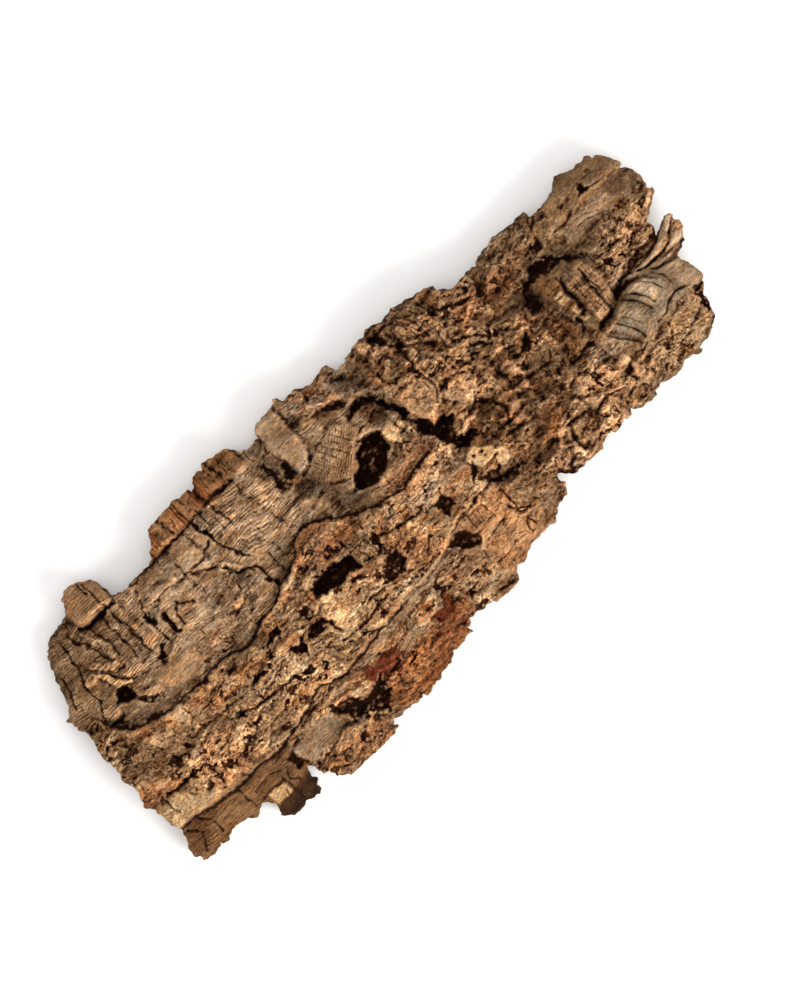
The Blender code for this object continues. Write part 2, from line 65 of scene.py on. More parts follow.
BOX_LOW, BOX_HIGH = (np.array(corner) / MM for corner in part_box("cork_bark_slab"))
print("solid, mm:", np.round(BOX_HIGH - BOX_LOW, 1))

# %% [markdown]
# ## The camera
# The photograph looks straight down at the slab, which lies aslant: its long axis runs up
# to the right at 45 degrees. So the camera's right is +X and -Y in equal parts. A long lens
# from three metres away keeps the low rim and the high crown at nearly one scale.

# %% Camera
LENS = 300.0                 # millimetres, on a 36 mm sensor
VIEW_HEIGHT = 375.0          # how much of the slab's plane the picture's height spans
TOP_LEVEL = 20.0             # the height where that span holds, between rim and crown
AIM = (-0.27, -1.86)
right = Vector((1.0, -1.0, 0.0)).normalized()
up = Vector((1.0, 1.0, 0.0)).normalized()
distance = LENS * VIEW_HEIGHT / 36.0
camera = bpy.data.objects.new("photo_camera", bpy.data.cameras.new("photo_camera"))
camera.data.lens = LENS
camera.data.sensor_width = 36.0
place = Vector((AIM[0], AIM[1], TOP_LEVEL + distance)) * MM
axes = Matrix((right, up, right.cross(up))).transposed().to_4x4()
camera.matrix_world = Matrix.Translation(place) @ axes
scene.collection.objects.link(camera)
scene.camera = camera
print("camera height, mm:", round(place.z / MM))

# %% [markdown]
# ## Floor and light
# The slab lies on a white table under soft light that comes mostly from the picture's lower
# right, which is the slab's -Y side. One large soft lamp low on that side shows the relief,
# a weaker one from above fills the cracks, and a pale sky keeps the shadows grey.

# %% Floor
def plain_material(name, colour, roughness):
    """A material of one colour, for what isn't part of the slab."""
    material = bpy.data.materials.new(name)
    material.use_nodes = True
    shader = material.node_tree.nodes["Principled BSDF"]
    shader.inputs["Base Color"].default_value = (*colour, 1.0)
    shader.inputs["Roughness"].default_value = roughness
    return material


FLOOR_SIZE = 4000.0
FLOOR_GAP = 0.2              # how far the table stays under the slab's feet
half = FLOOR_SIZE / 2 * MM
floor_mesh = bpy.data.meshes.new("floor")
floor_mesh.from_pydata([(-half, -half, 0), (half, -half, 0), (half, half, 0), (-half, half, 0)],
                       [], [(0, 1, 2, 3)])
floor_mesh.materials.append(plain_material("white_table", (0.95, 0.95, 0.945), 0.8))
floor = bpy.data.objects.new("floor", floor_mesh)
floor.location.z = -FLOOR_GAP * MM
scene.collection.objects.link(floor)
print("table, mm:", FLOOR_SIZE)


# %% Lamps
def soft_lamp(name, place_mm, size_mm, watts, colour=(1.0, 1.0, 1.0)):
    """A square area lamp at place_mm that faces the slab's middle."""
    data = bpy.data.lights.new(name, "AREA")
    data.size = size_mm * MM
    data.energy = watts
    data.color = colour
    lamp = bpy.data.objects.new(name, data)
    lamp.location = Vector(place_mm) * MM
    lamp.rotation_mode = "QUATERNION"
    lamp.rotation_quaternion = (-lamp.location).to_track_quat("-Z", "Y")
    scene.collection.objects.link(lamp)


soft_lamp("window_side", (150.0, -900.0, 900.0), 700.0, 12.0, (1.0, 0.985, 0.96))
soft_lamp("overhead", (-100.0, 200.0, 1500.0), 900.0, 6.0)
world = bpy.data.worlds.new("pale_room")
world.use_nodes = True
world.node_tree.nodes["Background"].inputs["Color"].default_value = (1.0, 1.0, 1.0, 1.0)
world.node_tree.nodes["Background"].inputs["Strength"].default_value = 0.85
scene.world = world
scene.view_settings.view_transform = "Standard"
print("lamps and floor are in place")

# %% [markdown]
# ## What the bark is made of
# The bark's form is told in short lists of points, read off the photograph: the broken
# outline, plates that stand above each other, rolls, cracks, hollows and stains. Each list
# stands beside the step that first needs it, and is easy to correct when a ledge turns out to
# lie a little too far left. A few places come back in several lists, so they have names.

# %% Places that several lists share
TILTED_PLATE = [(-19, 29), (-10, 33), (0, 35.5), (7, 32), (8, 28), (4, 24.5), (0, 21), (-6, 16.5), (-15, 21)]
PEG = [(-119, 47.5), (-103, 48), (-100, 60), (-108, 66), (-121, 62)]
PLANK = [(-21, 58), (-20, 31), (-14, 31.5), (-10.5, 37), (-10, 58)]
DARK_SLOT = [(13, 33), (18, 32), (20, 27), (17, 23), (13, 25), (12, 29)]
BROAD_FLAKE = [(26, 25), (32, 25.5), (40, 24.5), (41, 19), (37, 13), (33, 10.5), (28, 12), (26, 18)]
ROUND_FLAKE = [(39, 13), (44, 17), (49.5, 16), (51.5, 11), (50, 6), (45, 5), (41, 8.5)]
CREAM_LUMP = [(26.5, -8), (33, -6), (41, -12), (42, -20), (38, -21.5), (34, -15.5), (29, -15)]
CREAM_BLOCK = [(12.8, 20.5), (17.5, 22.5), (18.2, 17), (16.5, 12.5), (13.5, 15)]
CREAM_SPOT = [(-120, 3), (-111, 3), (-112, -4), (-118, -4)]
CREAM_CORNER = [(-146, -30), (-137, -30), (-124, -33.5), (-127, -28), (-137, -20), (-146, -20)]
SMOOTH_PANEL = [(-95, -39), (-74, -38.5), (-72, -47), (-93, -50)]
PANEL_AND_RIM = [(-95, -39), (-74, -38.5), (-72, -48), (-93, -50)]
SPLIT_BAND = [(113, 19), (137, 19), (137, 27), (113, 27.5)]
KNOB_SKIRT = [(112, 0), (112, 18), (142, 18), (142, 5), (130, 1)]
print("the tilted plate has", len(TILTED_PLATE), "corners, the peg", len(PEG))

# %% [markdown]
# ## Tools for shaping
# Everything below works on whole arrays: one number for each point of a grid over the slab.
# Noise gives what no list can hold. Gradient noise makes rolling lumps, and cellular noise,
# which asks how far the nearest scattered dots are, makes chunks, flakes and pits.

# %% Easing and noise
def step(t):
    """Smooth rise from 0 to 1 as t goes from 0 to 1: three t squared less two t cubed."""
    t = np.clip(t, 0.0, 1.0)
    return t * t * (3.0 - 2.0 * t)


def lattice(ix, iy, seed):
    """A fixed random angle for each corner of a whole-number grid, from 0 to 2 pi."""
    h = (ix * 374761393 + iy * 668265263 + seed * 982451653) & 0xFFFFFFFF
    h = ((h ^ (h >> 13)) * 1274126177) & 0xFFFFFFFF
    return ((h ^ (h >> 16)) & 0xFFFF) * (2.0 * np.pi / 65536.0)


def noise(x, y, seed=0):
    """Smooth gradient noise of x and y, about -1 to 1, with hills one unit across."""
    ix = np.floor(x).astype(np.int64)
    iy = np.floor(y).astype(np.int64)
    fx = x - ix
    fy = y - iy
    corners = []
    for dx in (0, 1):
        for dy in (0, 1):
            turn = lattice(ix + dx, iy + dy, seed)
            corners.append(np.cos(turn) * (fx - dx) + np.sin(turn) * (fy - dy))
    u = step(fx)
    v = step(fy)
    low = corners[0] * (1 - u) + corners[2] * u
    high = corners[1] * (1 - u) + corners[3] * u
    return 1.5 * (low * (1 - v) + high * v)


def fractal(x, y, seed, octaves=4, gain=0.55):
    """Noise added up over octaves, each twice as fine as the last and gain times as high."""
    return sum(gain ** k * noise(x * 2.0 ** k, y * 2.0 ** k, seed + k) for k in range(octaves))


def terraces(values, tread, riser=0.3):
    """values drawn towards level treads, with a steep riser over that share of each step."""
    whole = np.floor(values / tread)
    rest = values / tread - whole
    return tread * (whole + step((rest - 0.5) / riser + 0.5))


# %% Cellular noise
DOT_REACH = 0.42             # how far a dot may lie from the middle of its square


def cells(x, y, seed):
    """One dot is scattered in each unit square. Returns two random numbers of the nearest
    dot, from 0 to 1, and the way from it along x and along y."""
    ix = np.floor(x).astype(np.int64)
    iy = np.floor(y).astype(np.int64)
    nearest = np.full(x.shape, np.inf)
    best = np.zeros((4,) + x.shape)
    for dx in (-1, 0, 1):
        for dy in (-1, 0, 1):
            turn = lattice(ix + dx, iy + dy, seed)
            to_x = x - ix - dx - 0.5 - DOT_REACH * np.cos(turn)
            to_y = y - iy - dy - 0.5 - DOT_REACH * np.sin(turn)
            away = np.hypot(to_x, to_y)
            nearer = away < nearest
            nearest = np.where(nearer, away, nearest)
            own = (lattice(ix + dx, iy + dy, seed + 50) / (2 * np.pi), turn / (2 * np.pi), to_x, to_y)
            for row, value in zip(best, own):
                row[nearer] = value[nearer]
    return best


# %% Distances
def segment_distance(x, y, ax, ay, bx, by):
    """Distance to the straight piece from a to b."""
    ux, uy = bx - ax, by - ay
    along = np.clip(((x - ax) * ux + (y - ay) * uy) / (ux * ux + uy * uy + 1e-9), 0.0, 1.0)
    return np.hypot(x - ax - along * ux, y - ay - along * uy)


def line_distance(x, y, points):
    """Distance to the open line through points."""
    gap = np.full(x.shape, np.inf)
    for (ax, ay), (bx, by) in zip(points, points[1:]):
        gap = np.minimum(gap, segment_distance(x, y, ax, ay, bx, by))
    return gap


def edge_distance(x, y, points):
    """Distance to the closed outline through points, positive inside it."""
    gap = np.full(x.shape, np.inf)
    inside = np.zeros(x.shape, dtype=bool)
    for (ax, ay), (bx, by) in zip(points, points[1:] + points[:1]):
        gap = np.minimum(gap, segment_distance(x, y, ax, ay, bx, by))
        if ay != by:
            crosses = (ay > y) != (by > y)
            inside ^= crosses & (x < ax + (y - ay) * (bx - ax) / (by - ay))
    return np.where(inside, gap, -gap)


# %% [markdown]
# ## The grid and the broken edge
# The top is a height for each point of a fine grid. To keep edges from looking drawn with a
# ruler, every list is read at a place that noise has pushed aside by up to a millimetre or
# two, so that straight runs between two points of a list come out torn.

# %% The broken outline
# The broken outline, counter-clockwise: left end, bottom edge, right end, top edge
OUTLINE = [
    (-146.4, 3.3), (-146.6, 0), (-147.7, -4.2), (-146.4, -7.4), (-146.6, -10.5), (-148.2, -13.7),
    (-149, -15.8), (-148.2, -17.6), (-146.6, -19.2), (-147.3, -20.8), (-146.6, -23.3), (-146.6, -27.4),
    (-145.5, -30.5), (-146.6, -35.1), (-148, -37.1), (-149.1, -38.7), (-149.5, -41.9), (-148, -43.7),
    (-148.2, -46), (-142.7, -47.1), (-140.2, -46.5), (-139.3, -45.5), (-138, -47.1), (-135.7, -47.1),
    (-134.5, -46), (-132.3, -45.3), (-129.5, -45.3), (-127.7, -46), (-124.8, -46.2), (-122.5, -49.2),
    (-120, -47.4), (-117.3, -46), (-115.5, -47.1), (-113.9, -49.4), (-114.1, -52.4), (-115.5, -54.2),
    (-113.9, -56.2), (-110.9, -58), (-106.8, -58), (-105.2, -57.1), (-103.2, -58), (-100.5, -58.3),
    (-99.3, -59.1), (-98.2, -58), (-97.8, -56), (-95.7, -54.2), (-96.8, -52.1), (-96.6, -49.6),
    (-95, -47.8), (-93.2, -51.9), (-93, -54.6), (-90.5, -55.3), (-90, -58.7), (-87.7, -60.5),
    (-85.9, -62.4), (-81.8, -62.6), (-76.8, -62.5), (-72.3, -62.8), (-68.2, -63), (-63.6, -62.8),
    (-60.2, -61.5), (-61.4, -60.3), (-60, -59), (-56.4, -59.6), (-51.4, -59.9), (-49.5, -60.8),
    (-45.7, -60.1), (-44.3, -61.5), (-40.5, -61), (-38.6, -60.1), (-36.4, -60.8), (-35, -59.4),
    (-30, -58.8), (-25.9, -56.9), (-20, -56.7), (-16.8, -56), (-15.5, -56.2), (-16.1, -54.2),
    (-15, -54.6), (-12.7, -52.4), (-9.1, -52.6), (-5.9, -53.4), (-2.3, -53.3), (-1.4, -54.9),
    (1.4, -55.4), (7.7, -55.8), (10.9, -55.3), (11.6, -53.3), (13.2, -51.2), (15, -51), (16.6, -52.1),
    (18.6, -50.8), (21.4, -49.6), (24.1, -48.7), (29.1, -48.5), (33.2, -49), (36.1, -49.4),
    (38.2, -47.8), (40, -46.2), (41.4, -45.5), (46.4, -45.1), (47.5, -42.8), (49.1, -41), (47.7, -40.3),
    (48.2, -37.6), (49.5, -36.9), (50.9, -38.7), (52.3, -40.5), (54.5, -41.9), (59.1, -41.7),
    (63.6, -42.3), (67.3, -42.1), (70.5, -40.8), (73.2, -39.6), (75.5, -41.4), (79.1, -41.2),
    (80.9, -39.4), (82.5, -41.2), (84.5, -40.8), (85.5, -39.2), (86.8, -40.3), (89.1, -42),
    (91.8, -41.9), (94.5, -43), (95.9, -42.4), (97.3, -41.2), (100.7, -40.2), (104.5, -42.1),
    (107.3, -42.6), (110.5, -41.9), (114.5, -40.8), (116.4, -41.5), (119.3, -43.4), (120.7, -42.6),
    (120.5, -40.8), (125, -40.8), (129.1, -39.6), (131.8, -37.6), (133.5, -36.5), (133.4, -34.6),
    (135, -31.5), (135.2, -28.3), (137.7, -25.5), (140, -22.8), (140.2, -21.5), (139.8, -18.7),
    (139.1, -15.5), (137.7, -12.4), (138, -10.5), (141.8, -9.6), (144.5, -8.3), (145.5, -6.2),
    (147.3, -4.2), (148.4, -1.7), (147.3, -0.1), (147.6, 0.8), (146.4, 2.6), (145.2, 3.2), (142.7, 2),
    (140.2, 0.8), (136, -0.6), (134, -0.8), (137.7, 0.5), (139.3, 1.9), (140.2, 2.8), (139.5, 5.1),
    (139.3, 6.5), (141.4, 7.4), (144.1, 9.2), (146.4, 10.8), (149.1, 12.1), (150, 14.2), (148.2, 15.3),
    (149.3, 16.9), (150, 20.1), (149.3, 23.3), (148.4, 26.5), (145.9, 27.4), (148, 28.3), (147.5, 31),
    (145.9, 33.7), (145, 36), (143.4, 37.6), (141.8, 37.8), (141.1, 39.6), (140, 40.8), (139.1, 39.6),
    (135.5, 40.1), (133.2, 40.3), (130.9, 41.5), (128.6, 42.1), (127, 42.6), (125.5, 42.1), (124.3, 41),
    (122.7, 39.9), (119.5, 38.7), (116.4, 38.7), (112.3, 38.2), (109.8, 38.5), (109.5, 40.5),
    (108.6, 41.7), (106.8, 41.9), (103.2, 41.7), (98.6, 42.6), (94.5, 43), (91.8, 42.6), (89.5, 42.1),
    (85.9, 42.1), (83.6, 41.2), (82.7, 40.1), (81.4, 40), (80.5, 40.5), (75.9, 40.6), (70.9, 40),
    (68.6, 40.5), (67.3, 42.4), (65.9, 43.7), (65.5, 45.5), (63.6, 47.4), (60.9, 47.8), (58.6, 48.5),
    (54.5, 49.6), (51.8, 50.2), (48.4, 51), (45, 50.5), (42.3, 50.3), (40, 51.2), (38, 52.1),
    (35.9, 51.9), (34.1, 51.2), (30.9, 51.2), (28.6, 51), (24.5, 50.1), (20.9, 49.2), (18.2, 49.2),
    (16.8, 50.1), (16.4, 52.8), (15.5, 53.7), (13.2, 53.7), (10.5, 53), (8.6, 52.4), (5.9, 53),
    (3, 53.5), (1.8, 55.1), (-1.4, 55.3), (-4.8, 55.1), (-5.7, 57.4), (-7.3, 58.5), (-8.2, 58.3),
    (-7.7, 56.9), (-13.2, 56.5), (-17.7, 56.2), (-20.5, 55.1), (-21.4, 52.4), (-23.6, 51.8),
    (-27.3, 51.8), (-30, 54), (-31.6, 56.5), (-33.2, 58.3), (-35.5, 58.7), (-37.7, 58.5), (-39.3, 60.1),
    (-43, 60.3), (-44.5, 58.7), (-47.3, 59.2), (-49.3, 59), (-50.5, 56.9), (-53.6, 55.5), (-53.9, 57.1),
    (-56.4, 56.9), (-60.9, 57.8), (-65.9, 57.8), (-70.5, 57.4), (-75.5, 56.9), (-76.8, 53.7),
    (-80, 50.1), (-81.4, 47.8), (-84.5, 47.3), (-89.1, 47.4), (-92.3, 47.8), (-95, 46.9), (-98.2, 47.4),
    (-100.5, 48), (-102.3, 49.6), (-102.4, 53.3), (-102.7, 56.9), (-103.6, 59.2), (-105.5, 60.5),
    (-107.3, 61), (-109.5, 62.6), (-112.5, 63), (-114.5, 62.4), (-116.4, 60.8), (-116.8, 59.2),
    (-119.1, 56.7), (-122.3, 55.3), (-127.7, 54.6), (-130.9, 54), (-132.7, 51.9), (-135.5, 50.1),
    (-135.7, 48.3), (-137.7, 46.5), (-137.5, 45.1), (-139.5, 41.5), (-140, 39.6), (-141.4, 36.5),
    (-142, 33.3), (-144.3, 29), (-147, 27.8), (-147.3, 26.5), (-146.1, 23.7), (-146.4, 22.1),
    (-145, 19.6), (-145, 14.2), (-146.6, 11.5), (-147, 6.9),
]
print("outline points:", len(OUTLINE))

# %% Grid
STEP = 0.42                  # millimetres between points of the top
EDGE = 4                     # spare columns outside the slab's box
xs = np.arange(-150.0 - EDGE * STEP, 150.0 + EDGE * STEP, STEP)
ys = np.arange(-63.0 - EDGE * STEP, 63.0 + EDGE * STEP, STEP)
X, Y = np.meshgrid(xs, ys, indexing="ij")
BROAD_TEAR, SMALL_TEAR, FINE_TEAR = 1.1, 0.8, 0.5
TORN_X = (X + BROAD_TEAR * noise(X / 9.0, Y / 7.0, 20) + SMALL_TEAR * noise(X / 4.0, Y / 3.6, 21)
          + FINE_TEAR * noise(X / 1.5, Y / 1.5, 22))
TORN_Y = (Y + BROAD_TEAR * noise(X / 9.0, Y / 7.0, 27) + SMALL_TEAR * noise(X / 4.4, Y / 3.4, 23)
          + FINE_TEAR * noise(X / 1.6, Y / 1.4, 24))
NIBBLE = 0.6                 # how far the outline itself wanders
nibbled_x = X + NIBBLE * noise(X / 1.9, Y / 1.9, 25)
nibbled_y = Y + NIBBLE * noise(X / 1.9, Y / 1.9, 26)
inside = edge_distance(nibbled_x, nibbled_y, OUTLINE)
print("grid:", X.shape, "points on the bark:", int((inside > 0).sum()))


# %% Reading a list near its own points only
def patch(points, reach):
    """The part of the grid that lies within reach of the points, as a pair of slices."""
    px = [p[0] for p in points]
    py = [p[1] for p in points]
    i = np.searchsorted(xs, [min(px) - reach, max(px) + reach])
    j = np.searchsorted(ys, [min(py) - reach, max(py) + reach])
    return slice(*i), slice(*j)


def blot(points, soft=1.5, reach=6.0):
    """A mask over the grid: 1 inside the points, 0 outside, with an edge of width soft."""
    mask = np.zeros(X.shape)
    at = patch(points, reach)
    mask[at] = step(0.5 + 0.5 * edge_distance(TORN_X[at], TORN_Y[at], points) / soft)
    return mask


# %% [markdown]
# ## The arch
# Bark keeps the curve of the trunk it grew on. Across the slab the top follows the crown's
# height less a power of the place across, and eases from station to station along it.

# %% Stations
# Stations along the slab: x, lower and upper edge of the arch, crown, lower and upper rim
STATIONS = np.array([
    (-150, -46, 30, 24, 9, 9),
    (-128, -47, 53, 27.5, 9, 11),
    (-100, -51, 52, 30.5, 9, 13),
    (-60, -61, 57, 33, 8, 14),
    (-20, -58, 56, 35, 9, 15),
    (20, -51, 52, 35.5, 11, 15),
    (60, -42, 49, 34, 12, 13),
    (85, -41, 41, 30, 10, 12),
    (110, -42, 41, 26, 9, 12),
    (135, -38, 41, 24, 9, 12),
    (150, -30, 37, 21, 9, 10),
])
print("stations:", len(STATIONS))

# %% Arch
ARCH_POWER = 2.3


def across(x, y):
    """Place across the arch: -1 at its lower edge, 0 in the middle, 1 at its upper edge."""
    stops = STATIONS[:, 0]
    k = np.clip(np.searchsorted(stops, x) - 1, 0, len(stops) - 2)
    ease = step((x - stops[k]) / (stops[k + 1] - stops[k]))
    low, high, crown, rim_low, rim_high = (
        STATIONS[k, c] * (1 - ease) + STATIONS[k + 1, c] * ease for c in range(1, 6))
    v = np.clip((y - 0.5 * (low + high)) / (0.5 * (high - low)), -1.0, 1.0)
    return v, crown, np.where(v < 0, rim_low, rim_high)


v, crown, rim = across(X, Y)
arch = rim + (crown - rim) * (1.0 - np.abs(v) ** ARCH_POWER)
height = arch.copy()
print("arch, mm:", round(arch.min(), 1), "to", round(arch.max(), 1))

# %% [markdown]
# ## Kinds of ground
# The slab has four kinds of surface: a tan crust that breaks into chunks and flakes, even
# grey-brown bark with fine ribs, a rough dark mound, and the long folds of the narrow end.
# Each is a soft mask over the grid, and the masks steer both the shape and the colour.

# %% Ledges
# The long main ledge, along which the tan crust stands above the grey plate
MAIN_LEDGE = [
    (-156, 22), (-147, 21), (-139, 19), (-137, 14), (-133, 8.5), (-124, 3.5), (-115, 2.2),
    (-100, 1), (-90, 2), (-80, -1), (-62, 2.2), (-54, 6.5), (-43, 9.5), (-40, 14), (-34, 16),
    (-24, 11.5), (-16, 5.5), (-8, 2), (4, -0.5), (20, 2), (25, 4), (28, 1), (26, -5),
]
LOWER_LEDGE = [
    (27, -14), (30, -20), (20, -23.5), (7, -24), (0, -27), (-12, -29.5), (-28, -30),
    (-40, -30), (-50, -32.8), (-62, -32.7), (-70, -29), (-80, -32), (-95, -36), (-112, -34.5),
    (-122, -35), (-134, -32), (-145, -30.5), (-156, -30),
]
CRUST = MAIN_LEDGE + LOWER_LEDGE
print("points round the crust:", len(CRUST))

# %% Masks
LOWER_SIDE = [(-95, -36), (-70, -30), (-40, -31), (-12, -30), (0, -28), (7, -25), (30, -22), (42, -27),
              (50, -30), (52, -46), (20, -56), (-20, -62), (-60, -66), (-95, -66)]
MOUND = [(24, 62), (22, 40), (26, 18), (30, 8), (28, -4), (30, -24), (44, -30), (48, -50), (92, -50),
         (90, -12), (88, 4), (84, 24), (86, 48), (70, 62)]
NARROW_END = [(84, 50), (86, 24), (92, 6), (90, -12), (92, -50), (156, -50), (156, 50)]
crust = np.maximum(blot(CRUST, 1.0), 0.8 * blot(LOWER_SIDE, 3.0))
mound = blot(MOUND, 5.0)
narrow = blot(NARROW_END, 4.0)
even = np.clip(1.0 - crust - mound - narrow, 0.0, 1.0)
print("shares:", [round(float(m[inside > 0].mean()), 2) for m in (crust, mound, narrow, even)])

# %% [markdown]
# ## Ground that wear has left smooth
# Rubbed places have straight edges and clean cracks, and rotten ones are torn. A mask called
# calm is 1 on rough ground and falls where the bark is smooth. The places at which the lists
# are read are drawn back towards their own where it falls, so that edges straighten there.

# %% Smooth ground
# Ground that wear has left smooth: points, and how much of the roughness is gone
CALM = [
    ([(4, -7), (26, -7), (27, -20), (4, -21)], 0.5),
    ([(-51, -5), (-42, -9), (-34, -15), (-40, -26), (-51, -24)], 0.55),
    ([(-74, -16), (-68, -6), (-62, -8), (-64, -22), (-74, -22)], 0.4),
    ([(3, -21), (28, -20), (32, -34), (12, -37)], 0.6),
    ([(8, -37), (31, -34), (31, -47), (20, -47), (8, -44)], 0.45),
    ([(92, 18), (112, 15), (112, -8), (94, -9)], 0.5),
    (CREAM_LUMP, 0.7),
    (CREAM_BLOCK, 0.8),
    (BROAD_FLAKE, 0.4),
    (ROUND_FLAKE, 0.4),
    ([(-112, 5), (-95, 6), (-92, 15), (-104, 16), (-112, 15)], 0.8),
    ([(-115.5, 46), (-111, 46), (-111, 26), (-115, 26)], 0.6),
    ([(98, -20), (104, -10), (116, -6), (132, -8), (142, -12), (142, -22), (120, -23), (106, -25)], 0.92),
    ([(116, -2.4), (128, -3.4), (142, 2), (150, 4), (150, -9), (128, -9.5)], 0.75),
    ([(113, 19), (137, 19), (146, 20), (146, 29), (113, 27.5)], 0.8),
    ([(110, 29), (150, 30), (150, 42), (120, 42)], 0.65),
    ([(-146, -31), (-124, -34.5), (-127, -27), (-137, -20), (-146, -20)], 0.8),
    (CREAM_SPOT, 0.8),
    (TILTED_PLATE, 0.7),
    (PEG, 0.8),
    (PLANK, 0.6),
    (CREAM_LUMP, 0.75),
    (PANEL_AND_RIM, 0.7),
    ([(-149, -33), (-120, -36), (-95, -37), (-96, -62), (-149, -48)], 0.65),
    ([(-70, -29.5), (-56, -33.6), (-28, -30.5), (7, -24.5), (6, -28), (-12, -33), (-50, -37), (-66, -35)],
     0.7),
]
LEAST_TEAR = 0.2             # share of the tearing that is left on the smoothest ground
MORE_TEAR = 0.65             # and what rough ground adds to it
calm = np.ones(X.shape)
for outline, worn_share in CALM:
    calm -= calm * worn_share * blot(outline, 2.0)
TORN_X = X + (LEAST_TEAR + MORE_TEAR * calm) * (TORN_X - X)
TORN_Y = Y + (LEAST_TEAR + MORE_TEAR * calm) * (TORN_Y - Y)
print("mean calm:", round(float(calm[inside > 0].mean()), 2))

# %% [markdown]
# ## Plates, rolls and flakes
# A plate lifts the ground inside its points and curls up a little at its lip, as a layer does
# that dries and lifts. A flake is a small plate. A roll is a soft ridge along a line, and a
# gully is a roll that goes down.

# %% Plates
# Plates: name, points, rise above the arch, width of the edge, height of the curled lip
PLATES = [
    ("tan crust", MAIN_LEDGE + LOWER_LEDGE, 5, 1.3, 0.8),
    ("lower shelf", [(-156, -31), (-134, -32.5), (-122, -35.5), (-112, -35), (-95, -36.5), (-95, -62), (-156,
     -62)], -3, 2, 0),
    ("knobbly lobe", [(-93, -52), (-84, -50.5), (-77, -48.5), (-68, -50), (-60, -57), (-58, -66), (-94,
     -66)], 2.2, 1.5, 0.4),
    ("smooth panel", SMOOTH_PANEL, -1.4, 1.6, 0),
    ("peg", [(-118, 47.5), (-103, 48), (-100, 60), (-108, 66), (-121, 62)], 8, 2, 0.5),
    ("edge block", [(-80, 47.5), (-54, 47.5), (-53, 62), (-82, 62)], 4.5, 1.6, 0.5),
    ("second edge block", [(-51, 49), (-32, 48), (-31, 64), (-53, 64)], 4.5, 1.6, 0.5),
    ("grey plank", [(-21, 60), (-20.5, 45), (-19.5, 31), (-14, 31.5), (-10.5, 37), (-10, 48), (-10, 60)], 5,
     1.4, 0.6),
    ("short block", [(-9, 48), (0, 47), (3, 52), (3, 60), (-9, 60)], 3.2, 1.6, 0.5),
    ("tilted plate", [(-19, 29), (-10, 33), (0, 35.5), (7, 32), (8, 28), (4, 24.5), (0, 21), (-6, 16.5),
     (-12, 19.5), (-16, 23)], 5, 1.4, 1),
    ("tan ridge", [(-12, 4), (-3, 8.5), (8, 9), (17, 14), (24, 11), (28, 1), (10, -3)], 1.6, 2, 0.4),
    ("rough mound", [(25, 60), (24, 34), (27, 18), (34, 10), (46, 5), (52, -4), (56, -22), (58, -48), (86,
     -48), (82, -12), (86, 8), (84, 24), (88, 44), (70, 60)], 3.2, 3, 0.3),
    ("right upper lobe", [(106, 27), (122, 29), (140, 28.5), (156, 27), (156, 50), (104, 50)], 4.4, 2.4, 0.3),
    ("middle knob", [(90, 17), (98, 20), (108, 17), (113, 6), (110, -7), (98, -9), (90, -5)], 6.5, 2.2, 0.6),
    ("knob skirt", [(110, 14), (126, 18), (142, 16), (152, 12), (140, 3), (128, 1), (112, 0)], 2.4, 1.8, 0.5),
    ("barrel", [(94, -12), (104, -9), (116, -5), (130, -7), (142, -10), (144, -24), (128, -24), (112, -26),
     (96, -25)], 5.2, 2.2, 0.5),
    ("curled strip", [(116, -3.2), (128, -4.6), (140, -7.2), (150, -8), (152, 3), (146, 4), (138, 0), (128,
     -1)], 5, 1.3, 0.9),
    ("broken corner", [(96, -26), (112, -27), (132, -25), (142, -30), (138, -48), (94, -48)], 2, 1.8, 0.5),
]


def raise_plate(points, rise, edge, lip, lip_width, reach):
    """Raises the ground inside points by rise, over an edge, and its rim by a bell-shaped lip."""
    at = patch(points, reach)
    d = edge_distance(TORN_X[at], TORN_Y[at], points)
    height[at] += rise * step(0.5 + 0.5 * d / (0.7 * edge)) + lip * np.exp(-((d - edge) / lip_width) ** 2)


for _name, points, rise, edge, lip in PLATES:
    raise_plate(points, rise, edge, lip, 1.4, 8.0)
print("plates:", len(PLATES))

